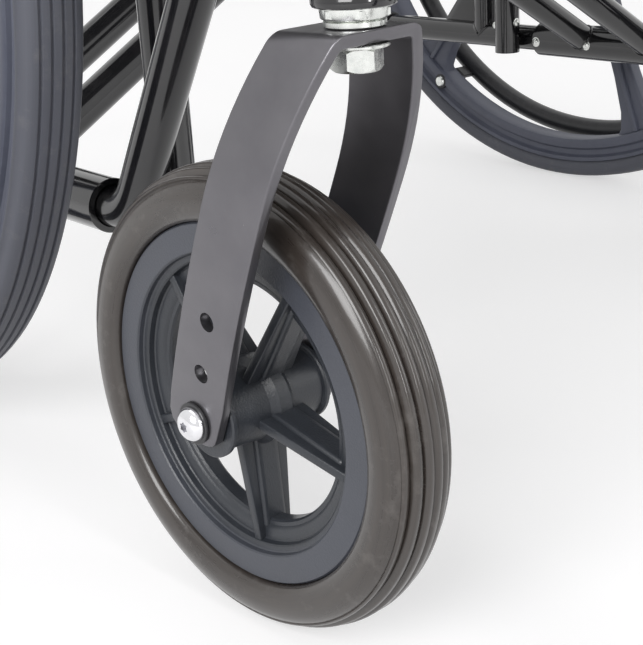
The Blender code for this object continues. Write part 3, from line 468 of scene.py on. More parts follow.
def makeSprayedPaint():
    # Orange peel, slow changes of gloss and a little dust on what faces up
    tree, given, out = nodeGroup(
        "sprayedPaint",
        [("Vector", "NodeSocketVector", None), ("Peel size", "NodeSocketFloat", 0.0016),
         ("Dust", "NodeSocketFloat", 0.25)],
        [("Height", "NodeSocketFloat"), ("Gloss change", "NodeSocketFloat"), ("Dust mask", "NodeSocketFloat"),
         ("Specks", "NodeSocketFloat")])
    peel = noise(tree, given["Vector"], maths(tree, "DIVIDE", 1.0, given["Peel size"]), 2.0)
    tree.links.new(peel, out["Height"])
    tree.links.new(clouds(tree, given["Vector"], 38.0, 4.0, 0.6), out["Gloss change"])
    geometry = tree.nodes.new("ShaderNodeNewGeometry")
    up = node(tree, "ShaderNodeSeparateXYZ", {0: geometry.outputs["Normal"]}).outputs[2]
    lying = maths(tree, "MULTIPLY", spread(tree, up, 0.1, 1.0, 0.0, 1.0),
                  clouds(tree, given["Vector"], 120.0, 5.0, 0.7, 0.42, 0.72))
    tree.links.new(maths(tree, "MULTIPLY", lying, given["Dust"]), out["Dust mask"])
    cells = node(tree, "ShaderNodeTexVoronoi", {"Vector": given["Vector"], "Scale": 210.0})
    dots = maths(tree, "LESS_THAN", cells.outputs["Distance"], 0.035)
    rare = maths(tree, "GREATER_THAN", noise(tree, given["Vector"], 60.0, 1.0), 0.60)
    tree.links.new(maths(tree, "MULTIPLY", dots, rare), out["Specks"])
    return tree


def makeMouldedGrain():
    # The fine spark-eroded grain of moulded plastic, with slow changes of shade
    tree, given, out = nodeGroup(
        "mouldedGrain", [("Vector", "NodeSocketVector", None), ("Grain size", "NodeSocketFloat", 0.0007)],
        [("Height", "NodeSocketFloat"), ("Shade", "NodeSocketFloat")])
    size = maths(tree, "DIVIDE", 1.0, given["Grain size"])
    cells = node(tree, "ShaderNodeTexVoronoi", {"Vector": given["Vector"], "Scale": size},
                 feature="SMOOTH_F1").outputs["Distance"]
    fine = noise(tree, given["Vector"], size, 3.0, 0.6)
    tree.links.new(maths(tree, "ADD", maths(tree, "MULTIPLY", cells, 0.6), fine), out["Height"])
    tree.links.new(clouds(tree, given["Vector"], 30.0, 5.0, 0.65), out["Shade"])
    return tree


def makeRolledRubber():
    # Rubber of a tyre: fine rings left by its mould, smears across them and pale dust
    tree, given, out = nodeGroup(
        "rolledRubber",
        [("Vector", "NodeSocketVector", None), ("Ring pitch", "NodeSocketFloat", 0.0011)],
        [("Height", "NodeSocketFloat"), ("Smears", "NodeSocketFloat"), ("Dust mask", "NodeSocketFloat")])
    flat, parts = fromAxle(tree, given["Vector"])
    angle = maths(tree, "ARCTAN2", parts[2], parts[1])
    around = node(tree, "ShaderNodeCombineXYZ", {0: maths(tree, "MULTIPLY", parts[0], 90.0),
                                                 1: maths(tree, "MULTIPLY", flat, 90.0),
                                                 2: maths(tree, "COSINE", angle)}).outputs[0]
    smears = noise(tree, around, 2.2, 6.0, 0.62)
    across, outwards = [maths(tree, "DIVIDE", way, given["Ring pitch"]) for way in (parts[0], flat)]
    rings = node(tree, "ShaderNodeCombineXYZ", {0: across, 1: outwards}).outputs[0]
    fine = noise(tree, rings, 1.0, 2.0)
    skin = noise(tree, given["Vector"], 1500.0, 2.0)
    tree.links.new(maths(tree, "ADD", fine, maths(tree, "MULTIPLY", skin, 0.35)), out["Height"])
    tree.links.new(spread(tree, smears, 0.32, 0.68, 0.0, 1.0), out["Smears"])
    tree.links.new(clouds(tree, given["Vector"], 70.0, 6.0, 0.72, 0.55, 0.80), out["Dust mask"])
    return tree


def makePlatedMetal():
    # Zinc or chrome: fine drawn scratches, cloudy tint and dull patches
    tree, given, out = nodeGroup(
        "platedMetal", [("Vector", "NodeSocketVector", None)],
        [("Height", "NodeSocketFloat"), ("Clouds", "NodeSocketFloat"), ("Scratches", "NodeSocketFloat")])
    lines = noise(tree, mapped(tree, given["Vector"], Scale=(2600.0, 260.0, 900.0)), 1.0, 3.0, 0.6)
    tree.links.new(lines, out["Height"])
    tree.links.new(clouds(tree, given["Vector"], 190.0, 4.0, 0.6), out["Clouds"])
    tree.links.new(spread(tree, lines, 0.55, 0.75, 0.0, 1.0), out["Scratches"])
    return tree


def makeWovenCloth():
    # Plain weave from a piece's own UV map, one UV unit to a metre
    tree, given, out = nodeGroup(
        "wovenCloth", [("Vector", "NodeSocketVector", None), ("Threads", "NodeSocketFloat", 900.0)],
        [("Height", "NodeSocketFloat"), ("Shade", "NodeSocketFloat"), ("Fuzz", "NodeSocketFloat")])
    parts = node(tree, "ShaderNodeSeparateXYZ", {0: given["Vector"]}).outputs
    across, along = [maths(tree, "MULTIPLY", part, given["Threads"]) for part in parts[:2]]
    warp, weft = [maths(tree, "ABSOLUTE", maths(tree, "SINE", maths(tree, "MULTIPLY", way, math.pi)))
                  for way in (across, along)]
    cell = maths(tree, "ADD", maths(tree, "FLOOR", across), maths(tree, "FLOOR", along))
    over = maths(tree, "ABSOLUTE", maths(tree, "MODULO", cell, 2.0))
    height = node(tree, "ShaderNodeMix", {0: over, 2: warp, 3: weft}).outputs[0]
    tree.links.new(height, out["Height"])
    tree.links.new(clouds(tree, given["Vector"], 14.0, 5.0, 0.6), out["Shade"])
    tree.links.new(noise(tree, given["Vector"], 700.0, 2.0), out["Fuzz"])
    return tree


groups = {"paint": makeSprayedPaint(), "grain": makeMouldedGrain(), "rubber": makeRolledRubber(),
          "metal": makePlatedMetal(), "cloth": makeWovenCloth()}


# Finishes

def newFinish(name, **sockets):
    finish = bpy.data.materials.new(name)
    finish.use_nodes = True
    tree = finish.node_tree
    shader = tree.nodes["Principled BSDF"]
    for socket, value in sockets.items():
        shader.inputs[socket.replace("_", " ")].default_value = value
    return finish, tree, shader, tree.nodes.new("ShaderNodeTexCoord").outputs


def useGroup(tree, name, **inputs):
    return node(tree, "ShaderNodeGroup", {key.replace("_", " "): value for key, value in inputs.items()},
                node_tree=groups[name]).outputs


def shades(tree, factor, look):
    return mixed(tree, factor, (*look["dark"], 1), (*look["light"], 1))


def roughness(tree, factor, look, worn=None, more=0.0):
    # The look's range of roughness, and more of it where a mask says that it is worn or dusty
    rough = spread(tree, factor, 0.0, 1.0, *look["rough"])
    return rough if worn is None else maths(tree, "ADD", rough, maths(tree, "MULTIPLY", worn, more))


def connect(tree, shader, colour, rough, height, look):
    # The last links of a finish. The bump is as deep as its look says, in metres.
    tree.links.new(colour, shader.inputs["Base Color"])
    tree.links.new(rough, shader.inputs["Roughness"])
    bump = node(tree, "ShaderNodeBump", {"Height": height, "Distance": look["depth"], "Strength": 1.0})
    tree.links.new(bump.outputs[0], shader.inputs["Normal"])


def painted(name, look):
    # Sprayed or powder-coated steel
    finish, tree, shader, spot = newFinish(name, Metallic=look["metal"], Coat_Weight=look["coat"],
                                           Coat_Roughness=look["coatRough"])
    effect = useGroup(tree, "paint", Vector=spot["Object"], Peel_size=look["peel"], Dust=look["dust"])
    gloss, dust = effect["Gloss change"], effect["Dust mask"]
    dusty = mixed(tree, dust, shades(tree, gloss, look), (0.30, 0.29, 0.28, 1))
    specks = maths(tree, "MULTIPLY", effect["Specks"], look["specks"])
    speckled = mixed(tree, specks, dusty, (0.5, 0.49, 0.47, 1))
    connect(tree, shader, speckled, roughness(tree, gloss, look, dust, 0.5), effect["Height"], look)
    return finish


def moulded(name, look, centre=None):
    # Moulded plastic. Round a centre, it is painted paler from a radius outwards: painted light on the outer
    # ring, which the key lamp lights more than the hub.
    finish, tree, shader, spot = newFinish(name)
    effect = useGroup(tree, "grain", Vector=spot["Object"], Grain_size=look["grain"])
    colour = shades(tree, effect["Shade"], look)
    if centre:
        # Painted light: from this radius outwards the same plastic is painted paler, as a painted highlight on
        # the lit outer ring
        away = fromAxle(tree, centred(tree, spot["Object"], centre))[0]
        paintedRingLight = maths(tree, "MULTIPLY", spread(tree, away, *look["paintedRingLight"], 0.0, 0.85),
                        spread(tree, effect["Shade"], 0.0, 1.0, 0.8, 1.0))
        colour = mixed(tree, paintedRingLight, colour, (*look["pale"], 1))
    connect(tree, shader, colour, roughness(tree, effect["Shade"], look), effect["Height"], look)
    return finish


def rubber(name, look, centre):
    # A tyre's rubber. The centre is its axle's place, because the mould's rings run round that.
    finish, tree, shader, spot = newFinish(name, Coat_Weight=look["coat"], Coat_Roughness=0.07)
    effect = useGroup(tree, "rubber", Vector=centred(tree, spot["Object"], centre), Ring_pitch=look["pitch"])
    smears, dust = effect["Smears"], effect["Dust mask"]
    dusty = mixed(tree, maths(tree, "MULTIPLY", dust, look["dust"]), shades(tree, smears, look),
                  (0.33, 0.31, 0.29, 1))
    connect(tree, shader, dusty, roughness(tree, smears, look, dust, 0.12), effect["Height"], look)
    return finish


def plated(name, look):
    finish, tree, shader, spot = newFinish(name, Metallic=1.0)
    effect = useGroup(tree, "metal", Vector=spot["Object"])
    connect(tree, shader, shades(tree, effect["Clouds"], look),
            roughness(tree, effect["Clouds"], look, effect["Scratches"], 0.12), effect["Height"], look)
    return finish


def cloth(name, look):
    finish, tree, shader, spot = newFinish(name, Sheen_Weight=look["sheen"], Sheen_Roughness=0.4)
    effect = useGroup(tree, "cloth", Vector=spot["UV"], Threads=look["threads"])
    threads = mixed(tree, maths(tree, "MULTIPLY", effect["Height"], 0.5), shades(tree, effect["Shade"], look),
                    (*look["thread"], 1))
    rough = spread(tree, effect["Fuzz"], 0.2, 0.8, *look["rough"])
    connect(tree, shader, threads, rough, effect["Height"], look)
    return finish


def padCovering(name, look):
    # Upholstery vinyl with a leather grain, smoother on top of the grain than in its creases
    finish, tree, shader, spot = newFinish(name)
    cells = node(tree, "ShaderNodeTexVoronoi", {"Vector": spot["Object"], "Scale": look["cells"]},
                 feature="DISTANCE_TO_EDGE").outputs["Distance"]
    creases = spread(tree, cells, 0.0, 0.14, 0.0, 1.0)
    smooth, dull = look["rough"]
    pores = maths(tree, "MULTIPLY", noise(tree, spot["Object"], 1400.0, 2.0), 0.3)
    height = maths(tree, "ADD", creases, pores)
    connect(tree, shader, shades(tree, clouds(tree, spot["Object"], 26.0, 5.0, 0.6), look),
            spread(tree, creases, 0.0, 1.0, dull, smooth), height, look)
    return finish


hubSide, hubTrail = 0.0042, 0.0684             # how far the turned casters' hubs lie from their stems
rightHub, leftHub = [Vector((side * casterX - hubSide, shiftY + hubTrail, chair["casterRadius"]))
                     for side in (-1, 1)]

finishes = {
    "frame": painted("frameGlossBlack", {
        "dark": (0.0075, 0.0075, 0.009), "light": (0.014, 0.0135, 0.015), "rough": (0.10, 0.20),
        "metal": 0.0, "coat": 0.5, "coatRough": 0.06, "peel": 0.0022, "dust": 0.05, "specks": 0.25,
        "depth": 0.00001}),
    "fork": painted("forkSatinBlack", {
        "dark": (0.146, 0.142, 0.154), "light": (0.173, 0.168, 0.180), "rough": (0.27, 0.34),
        "metal": 0.85, "coat": 0.0, "coatRough": 0.3, "peel": 0.0009, "dust": 0.05, "specks": 0.45,
        "depth": 0.000012}),
    "satin": painted("smallPartsSatinBlack", {
        "dark": (0.020, 0.020, 0.022), "light": (0.032, 0.032, 0.035), "rough": (0.30, 0.42),
        "metal": 0.0, "coat": 0.0, "coatRough": 0.3, "peel": 0.0012, "dust": 0.10, "specks": 0.3,
        "depth": 0.000012}),
    # The pale colour, laid on from the radius range outwards, is painted light on the outer ring of the
    # caster's rim
    "caster": moulded("casterWheelPlastic", {
        "dark": (0.022, 0.025, 0.031), "light": (0.034, 0.038, 0.046), "rough": (0.30, 0.42),
        "pale": (0.066, 0.071, 0.088), "paintedRingLight": (0.0625, 0.0660), "grain": 0.0008, "depth": 0.00011},
        (0.0, rightHub.y, rightHub.z)),
    "drive": moulded("driveWheelPlastic", {
        "dark": (0.082, 0.089, 0.122), "light": (0.108, 0.116, 0.152), "rough": (0.40, 0.50),
        "grain": 0.0010, "depth": 0.00005}),
    "plastic": moulded("mouldedBlackPlastic", {
        "dark": (0.013, 0.013, 0.015), "light": (0.022, 0.022, 0.024), "rough": (0.42, 0.58),
        "grain": 0.0012, "depth": 0.00008}),
    "grip": moulded("gripRubber", {
        "dark": (0.012, 0.012, 0.013), "light": (0.020, 0.020, 0.021), "rough": (0.62, 0.75),
        "grain": 0.0009, "depth": 0.00008}),
    "zinc": plated("zincPlate", {
        "dark": (0.60, 0.62, 0.60), "light": (0.78, 0.79, 0.76), "rough": (0.20, 0.34), "depth": 0.000012}),
    "chrome": plated("chromePlate", {
        "dark": (0.72, 0.72, 0.74), "light": (0.82, 0.82, 0.84), "rough": (0.06, 0.14), "depth": 0.000004}),
    "cloth": cloth("slingNylon", {
        "dark": (0.010, 0.010, 0.012), "light": (0.016, 0.016, 0.018), "thread": (0.030, 0.030, 0.034),
        "rough": (0.52, 0.72), "sheen": 0.25, "threads": 700.0, "depth": 0.00018}),
    "thread": moulded("blackThread", {
        "dark": (0.030, 0.030, 0.033), "light": (0.048, 0.048, 0.052), "rough": (0.55, 0.75),
        "grain": 0.0005, "depth": 0.00004}),
    "vinyl": padCovering("padVinyl", {
        "dark": (0.012, 0.012, 0.013), "light": (0.020, 0.020, 0.022), "rough": (0.40, 0.62),
        "cells": 520.0, "depth": 0.00022}),
}
tyreLook = {"dark": (0.027, 0.0215, 0.0185), "light": (0.044, 0.036, 0.031), "rough": (0.24, 0.36),
            "pitch": 0.0008, "dust": 0.20, "depth": 0.00002, "coat": 0.42}
driveTyreLook = {"dark": (0.070, 0.073, 0.090), "light": (0.092, 0.096, 0.117), "rough": (0.45, 0.60),
                 "pitch": 0.0012, "dust": 0.20, "depth": 0.00003, "coat": 0.0}
finishes["casterRubber"] = rubber("casterTyreRubber_right", tyreLook, rightHub)
leftCasterRubber = rubber("casterTyreRubber_left", tyreLook, leftHub)
finishes["driveRubber"] = rubber("driveTyreRubber", driveTyreLook, (0.0, shiftY + rearY, chair["wheelRadius"]))
print("finishes made")


# Casters. They are made with the stem's axis at X 0, Y 0, and then turned and put in place.

casterSizes = {
    "rimSeat": 0.0776, "grooves": 5, "treadHalf": 0.0115, "crown": 31.0,
    "hub": 0.0156, "hubHalf": 0.0268, "spokes": 5, "spokePhase": 4.0, "ribHub": 0.0122, "ribRim": 0.0088,
    "windowNear": 0.0105, "windowFar": 0.0532, "windowHalfAngle": 24.5, "windowFlare": 1.075,
    "plate": 0.005, "footHalf": 0.0323, "wideHalf": 0.0367, "armHalf": 0.0164, "footY": 0.0026,
    "bow": 0.125, "bowZ": 0.093, "corner": 0.0075, "cornerZ": 0.1513, "topZ": 0.170,
    "lean": 23.4, "holes": 3, "holeLean": 20.6, "holePitch": 0.0254,
}


def carryCaster(piece, word):
    side = 1 if word == "left" else -1
    turn(piece, chair["casterTurn"], "Z")
    shift(piece, side * casterX, casterY)


def toAxle(piece):
    return shift(piece, 0, chair["casterTrail"], chair["casterRadius"])


def makeCasterTyre():
    # The half profile runs from the rim's seat over the sidewall and shoulder to the crown
    s = casterSizes
    half = [(0.0126, s["rimSeat"] + 0.0003), (0.0136, 0.0781), (0.0149, 0.0790), (0.0159, 0.0806),
            (0.0165, 0.0828), (0.0168, 0.0852), (0.0167, 0.0872), (0.0163, 0.0893), (0.0157, 0.0912),
            (0.0149, 0.0927), (0.0140, 0.0938), (0.0131, 0.0945)]
    rib = [(0.0019, 0.0009), (0.0015, 0.0003), (0.0008, 0.0)]     # half a rib: away from its middle, depth
    crown = []
    for index in range(s["grooves"] + 1):
        middle = s["treadHalf"] - index * 2 * s["treadHalf"] / s["grooves"]
        height = chair["casterRadius"] - s["crown"] * middle * middle
        crown += [(middle + away, height - depth) for away, depth in rib]
        crown += [(middle - away, height - depth) for away, depth in reversed(rib)]
        if index < s["grooves"]:
            crown.append((middle - 0.0023, height - 0.0013))      # the floor of the groove
    profile = half + crown + [(-x, r) for x, r in reversed(half)]
    return toAxle(turned(profile, 128, ring=True))


def makeCasterWindow(index):
    # A cutter for the opening between two spokes, flared at both faces for a rounded edge
    s = casterSizes
    near, wide, far = s["windowNear"] / math.sin(math.pi / s["spokes"]), s["windowHalfAngle"], s["windowFar"]
    arc = [(far * math.sin(math.radians(wide) * k / 3), -far * math.cos(math.radians(wide) * k / 3))
           for k in range(-3, 4)]
    outline = softened([(0.0, -near)] + arc, [0.0075, 0.0085, 0, 0, 0, 0, 0, 0.0085], 6)
    opening = plate(outline, -0.0046, 0.0046, soft=0)
    edit(opening)
    for level in (0.0027, -0.0027):
        bpy.ops.mesh.select_all(action="SELECT")
        bpy.ops.mesh.bisect(plane_co=(level, 0, 0), plane_no=(1, 0, 0))
    bpy.ops.mesh.select_all(action="DESELECT")
    leave()
    middle, flare = -0.040, s["windowFlare"]
    for corner in opening.data.vertices:
        if abs(corner.co.x) > 0.004:
            corner.co.y *= flare
            corner.co.z = middle + (corner.co.z - middle) * flare
    return turn(opening, -s["spokePhase"] - 360 / s["spokes"] * (index + 0.5), "X")


def makeCasterSpoke(index):
    # A broad flat rib, and the thicker one along its middle
    s = casterSizes
    angle = -s["spokePhase"] - 360 / s["spokes"] * index
    rib = plate([(-s["ribHub"], -0.0120), (s["ribHub"], -0.0120), (s["ribHub"], -0.0190),
                 (s["ribRim"], -0.0618), (-s["ribRim"], -0.0618), (-s["ribHub"], -0.0190)],
                -0.0021, 0.0021, "XZ", 0.0008, 3)
    foot = plate([(-0.0062, -0.0130), (0.0062, -0.0130), (0.0060, -0.0570), (-0.0060, -0.0570)],
                 -0.0038, 0.0038, "XZ", 0.0019, 3)
    return [turn(rib, angle, "X"), turn(foot, angle, "X")]


def makeCasterWheel():
    s = casterSizes
    lip = [(0.0108, s["rimSeat"]), (0.0117, s["rimSeat"]), (0.0125, 0.0768)]
    ledges = [(0.0125, 0.0655), (0.0119, 0.0649), (0.0100, 0.0645), (0.0096, 0.0640), (0.0094, 0.0622),
              (0.0088, 0.0616), (0.0064, 0.0611), (0.0059, 0.0605), (0.0056, 0.0568), (0.0051, 0.0558),
              (0.0043, 0.0550), (0.0041, 0.0534), (0.0030, 0.0526)]
    rim = turned(bothFaces(lip + ledges), 120, ring=True)
    web = turned([(0.0034, 0.0120), (0.0040, 0.0126), (0.0040, 0.0540), (-0.0040, 0.0540), (-0.0040, 0.0126),
                  (-0.0034, 0.0120)], 120, ring=True)
    cut(web, *[makeCasterWindow(index) for index in range(s["spokes"])])
    ribs = [piece for index in range(s["spokes"]) for piece in makeCasterSpoke(index)]
    h, r = s["hubHalf"], s["hub"]
    barrel = turned(bothFaces([(h, 0.0044), (h, r + 0.0006), (h - 0.0006, r + 0.0014),
                               (h - 0.0022, r + 0.0014), (h - 0.0028, r + 0.0008), (h - 0.0031, r - 0.0004),
                               (0.0160, r), (0.0062, r + 0.0008), (0.0048, r + 0.0018),
                               (0.0030, r + 0.0034)]), 48,
                    ring=True)
    return toAxle(weld(rim, web, barrel, *ribs))


def forkHalf(z):
    # Half the fork's width at a height over its axle, up to where the bow starts
    s = casterSizes
    return s["wideHalf"] - (s["wideHalf"] - s["footHalf"]) * min(1.0, (0.082 - z) / 0.074) ** 2


def forkLine(inward):
    # The strap's front outline on one side, from its foot to the crown, moved inward by a thickness
    s = casterSizes
    bow, bowZ, corner = s["bow"], s["bowZ"], s["corner"]
    last = math.asin((s["cornerZ"] - bowZ) / bow)
    line = [(forkHalf(z) - inward, z)
            for z in (-0.014, 0.0, 0.008, 0.014, 0.022, 0.030, 0.040, 0.052, 0.066, 0.080)]
    for step in range(11):
        angle = last * step / 10
        line.append((s["wideHalf"] - bow + (bow - inward) * math.cos(angle),
                     bowZ + (bow - inward) * math.sin(angle)))
    middle = (s["wideHalf"] - bow + (bow - corner) * math.cos(last), bowZ + (bow - corner) * math.sin(last))
    for step in range(1, 9):
        angle = last + (math.pi / 2 - last) * step / 8
        line.append((middle[0] + (corner - inward) * math.cos(angle),
                     middle[1] + (corner - inward) * math.sin(angle)))
    return line


def makeForkHole(index):
    # A cutter for one of the axle holes in both arms, with a softened edge at each face
    s = casterSizes
    along, slope = s["holePitch"] * index, math.radians(s["holeLean"])
    outer, inner = forkHalf(along), forkHalf(along) - s["plate"]
    hole = turned([(-0.0390, 0), (-0.0390, 0.0045), (-outer + 0.0004, 0.0039), (-inner - 0.0004, 0.0039),
                   (-inner + 0.0004, 0.0044), (inner - 0.0004, 0.0044), (inner + 0.0004, 0.0039),
                   (outer - 0.0004, 0.0039), (0.0390, 0.0045), (0.0390, 0)], 32)
    return toAxle(shift(hole, 0, -math.sin(slope) * along, math.cos(slope) * along))


def makeCasterFork():
    # A flat strap bent over the wheel, and cut to its side outline, which leans back to the axle
    s = casterSizes
    outer, inner = forkLine(0.0), forkLine(s["plate"])
    hollow = [(-x, z) for x, z in inner] + [(x, z) for x, z in reversed(inner)]
    strap = plate(bothFaces(outer) + hollow, -0.090, 0.050, "XZ", 0)
    lean, top = math.tan(math.radians(s["lean"])), s["topZ"]
    front, back = s["footY"] - s["armHalf"], s["footY"] + s["armHalf"]
    side = [(front - lean * top, top), (front + lean * 0.0045, -0.0045), (-0.0106, -0.0070),
            (-0.0088, -0.0083), (-0.0055, -0.0090), (0.0010, -0.0088), (0.0078, -0.0076), (0.0126, -0.0052),
            (0.0156, -0.0018), (0.0166, 0.0025), (back - lean * 0.0090, 0.0090),
            (back - lean * top, top)]
    combine("INTERSECT", strap, [plate(side, -0.060, 0.060, "YZ", 0)])
    bevel(strap, 0.0008, 3, 35)
    toAxle(strap)
    return cut(strap, *[makeForkHole(index) for index in range(s["holes"])],
               rod(0.240, 0.270, 0.0064, 32, "Z"))


def makeCasterStem():
    # The stem with its washers, from the bolt's end under the plate to the housing
    stem = turned([(0.2412, 0), (0.2412, 0.0048), (0.2420, 0.0060), (0.3290, 0.0060), (0.3300, 0.0050),
                   (0.3300, 0)], 32, "Z")
    washer = turned([(0.2556, 0.0040), (0.2556, 0.0104), (0.2560, 0.0109), (0.2576, 0.0109), (0.2580, 0.0104),
                     (0.2584, 0.0098), (0.2584, 0.0040)], 64, "Z", ring=True)
    cup = turned([(0.2583, 0.0040), (0.2583, 0.0112), (0.2586, 0.0117), (0.2590, 0.0119), (0.2621, 0.0122),
                  (0.2621, 0.0040)], 64, "Z", ring=True)
    return weld(stem, washer, cup, turn(hexagon(0.2588, 0.2620, 0.0222, "Z"), 4, "Z"))


def makeStemNut():
    washer = turned([(0.2487, 0.0066), (0.2487, 0.0116), (0.2490, 0.0119), (0.2497, 0.0119), (0.2500, 0.0116),
                     (0.2500, 0.0066)], 64, "Z", ring=True)
    nut = turn(hexagon(0.2405, 0.2486, 0.0163, "Z", 0.0062), 36, "Z")
    return joined(nut, washer)


def makeCasterAxle():
    # Button head on the outer side, lock nut on the inner side
    face = casterSizes["footHalf"] + 0.0002
    shank = turned([(-face - 0.0085, 0), (-face - 0.0085, 0.0029), (-face - 0.0077, 0.0037),
                    (face + 0.0010, 0.0037), (face + 0.0010, 0)], 32)
    washer = turned([(face, 0.0036), (face, 0.0085), (face + 0.0003, 0.0088), (face + 0.0011, 0.0088),
                     (face + 0.0013, 0.0085), (face + 0.0013, 0.0036)], 64, ring=True)
    head = turned([(face + 0.0012, 0)] + [(face + rise, radius) for rise, radius in (
        (0.0012, 0.0070), (0.0016, 0.0073), (0.0024, 0.0072), (0.0036, 0.0066), (0.0046, 0.0057),
        (0.0054, 0.0045), (0.0058, 0.0030), (0.0060, 0))], 64)
    socket = [onCircle(0.0024 if k % 2 else 0.0017, 30 * k) for k in range(12)]
    cut(head, plate(socket, face + 0.0030, face + 0.0080, "YZ", 0))
    nut = hexagon(-face - 0.0074, -face - 0.0002, 0.0132)
    return toAxle(joined(shank, head, nut)), toAxle(washer)


axle, axleWasher = makeCasterAxle()
for piece, name, body, finish, replaced, smooth in (
        (makeCasterTyre(), "casterTyre", "caster_roll", "casterRubber", ["caster_tyre"], 60),
        (makeCasterWheel(), "casterWheel", "caster_roll", "caster", ["caster_wheel"], 30),
        (makeCasterFork(), "casterFork", "caster_swivel", "fork", ["caster_fork"], 40),
        (makeCasterStem(), "casterStem", "caster_swivel", "zinc", ["caster_stem"], 30),
        (makeStemNut(), "casterStemNut", "caster_swivel", "zinc", ["caster_stem_nut"], 30),
        (axle, "casterAxle", "caster_swivel", "chrome", ["caster_axle"], 30),
        (axleWasher, "casterAxleWasher", "caster_swivel", "satin", [], 30)):
    bothSides(piece, name, body, finish, replaced, smooth, carryCaster)
bpy.data.objects["casterTyre_left"].data.materials[0] = leftCasterRubber
print("casters made")


# Side frames: every tube is its own bend, joined with weld beads

frameSizes = {
    "slopeY": 0.0492, "slopeBend": 0.034, "railFront": 0.241, "railEnd": 0.690, "caneBend": 0.060,
    "handleBend": 0.040,
    "uprightLow": 0.262, "uprightHigh": 0.457, "postLow": 0.1279, "postHigh": 0.4525,
    "stubs": (0.288, 0.350), "stubRadius": 0.0085, "housingRadius": 0.0150,
    "armCupY": 0.075, "hinges": (0.302, 0.402), "hingeY": -0.031, "hingeTab": 0.0085,
    "axlePlate": (0.464, 0.263, 0.528, 0.347), "plateHoles": (0.281, 0.305, 0.329), "plateHoleY": 0.515,
}


def makeSideFrame():
    s = frameSizes
    handleZ = chair["handleZ"]
    pieces = [
        bentTube([(frameX, s["railEnd"], railZ), (frameX, s["railFront"], railZ),
                  (frameX, s["slopeY"], upperZ)],
                 tubeR, s["slopeBend"], 40, tubeWall),
        bentTube([(frameX, 0.0, upperZ), (frameX, caneY, upperZ)], tubeR, 0, 40),
        bentTube([(frameX, 0.0, s["uprightLow"]), (frameX, 0.0, s["uprightHigh"])], tubeR, 0, 40, tubeWall),
        bentTube([(frameX, caneY, railZ), (frameX, caneY, reclineZ), (frameX, 0.5889, handleZ),
                  (frameX, 0.7169, handleZ)], tubeR, [s["caneBend"], s["handleBend"]], 40)]
    for along in (frontY, rearY):
        post = [(postX, along, s["postLow"]), (postX, along, s["postHigh"])]
        pieces.append(bentTube(post, tubeR, 0, 40, tubeWall))
        for height in (railZ, upperZ):
            spot = (postX, along, height)
            pieces.append(bead(spot, (1, 0, 0), 0.0052, spot, (0, 0, 1), tubeR, 0.0017))
    for height in s["stubs"]:
        near, far = (frameX, 0, height), (casterX, 0, height)
        pieces.append(shift(rod(frameX, casterX - 0.011, s["stubRadius"], 32, "X"), 0, 0, height))
        pieces.append(bead(near, (1, 0, 0), s["stubRadius"], near, (0, 0, 1), tubeR))
        pieces.append(bead(far, (-1, 0, 0), s["stubRadius"], (casterX, casterY, height), (0, 0, 1),
                           s["housingRadius"]))
    for along, height, heading, main in (
            (s["slopeY"], upperZ, (0, 0.5373, -0.8434), (0, 1, 0)), (0, upperZ, (0, 0, -1), (0, 1, 0)),
            (caneY, upperZ, (0, -1, 0), (0, 0, 1)), (caneY, railZ, (0, 0, 1), (0, 1, 0))):
        spot = (frameX, along, height)
        pieces.append(bead(spot, heading, tubeR, spot, main, tubeR))
    gusset = plate(softened([(0.538, 0.145), (0.588, 0.145), (0.538, 0.205)], [0, 0.004, 0.004]),
                   frameX - 0.002, frameX + 0.002)
    return joined(*pieces, gusset)


def makeCasterHousing():
    return shift(turned([
        (0.334, 0), (0.334, 0.0064), (0.2623, 0.0064), (0.2623, 0.0138), (0.2627, 0.0146), (0.2636, 0.0150),
        (0.2656, 0.0150), (0.2662, 0.0146), (0.2668, 0.0146), (0.2674, 0.0150), (0.3672, 0.0150),
        (0.3690, 0.0146), (0.3706, 0.0134), (0.3716, 0.0112), (0.3720, 0.0080),
        (0.3720, 0)], 64, "Z"), casterX, casterY)


def makeAxlePlate():
    s = frameSizes
    flat = plate(oblong(*s["axlePlate"], 0.010), 0.2795, 0.2845, "YZ", 0.0009)
    boss = turned([(0.2555, 0.00675), (0.2555, 0.0117), (0.2563, 0.0125), (0.2998, 0.0125), (0.3006, 0.0117),
                   (0.3006, 0.00675)], 48, ring=True)
    axle = rod(0.270, 0.295, 0.0122, 40)
    holes = [shift(rod(0.275, 0.290, 0.0058, 32), 0, s["plateHoleY"], height) for height in s["plateHoles"]]
    cut(flat, shift(axle, 0, rearY, chair["wheelRadius"]), *holes)
    return joined(flat, shift(boss, 0, rearY, chair["wheelRadius"]))


def makeArmCup():
    along = frameSizes["armCupY"]
    cup = turned([(0.4380, 0), (0.4380, 0.0129), (0.4390, 0.0139), (0.4572, 0.0139), (0.4580, 0.0134),
                  (0.4580, 0.0113), (0.4575, 0.0109), (0.4420, 0.0109), (0.4420, 0)], 48, "Z")
    bridge = block((frameX, along - 0.0085, 0.4392), (armX - 0.0125, along + 0.0085, 0.4508), 0.0012)
    return joined(shift(cup, armX, along), bridge)


def makeArmLug():
    lug = turned([(0.2987, 0.0044), (0.2987, 0.0134), (0.2993, 0.0140), (0.3058, 0.0140), (0.3064, 0.0134),
                  (0.3064, 0.0044)], 48, ring=True)
    return shift(lug, 0, caneY, chair["armPivotZ"])


def makeHangerLug(level):
    s = frameSizes
    tab = plate(oblong(frameX - s["hingeTab"], -0.0395, frameX + s["hingeTab"], -0.0081, 0.0082, 8),
                level - 0.0048, level - 0.0003, "XY", 0.0007)
    pin = turned([(level - 0.0030, 0), (level - 0.0030, 0.0050), (level + 0.0080, 0.0050),
                  (level + 0.0095, 0.0036),
                  (level + 0.0095, 0)], 32, "Z")
    return joined(tab, shift(pin, frameX, s["hingeY"]))


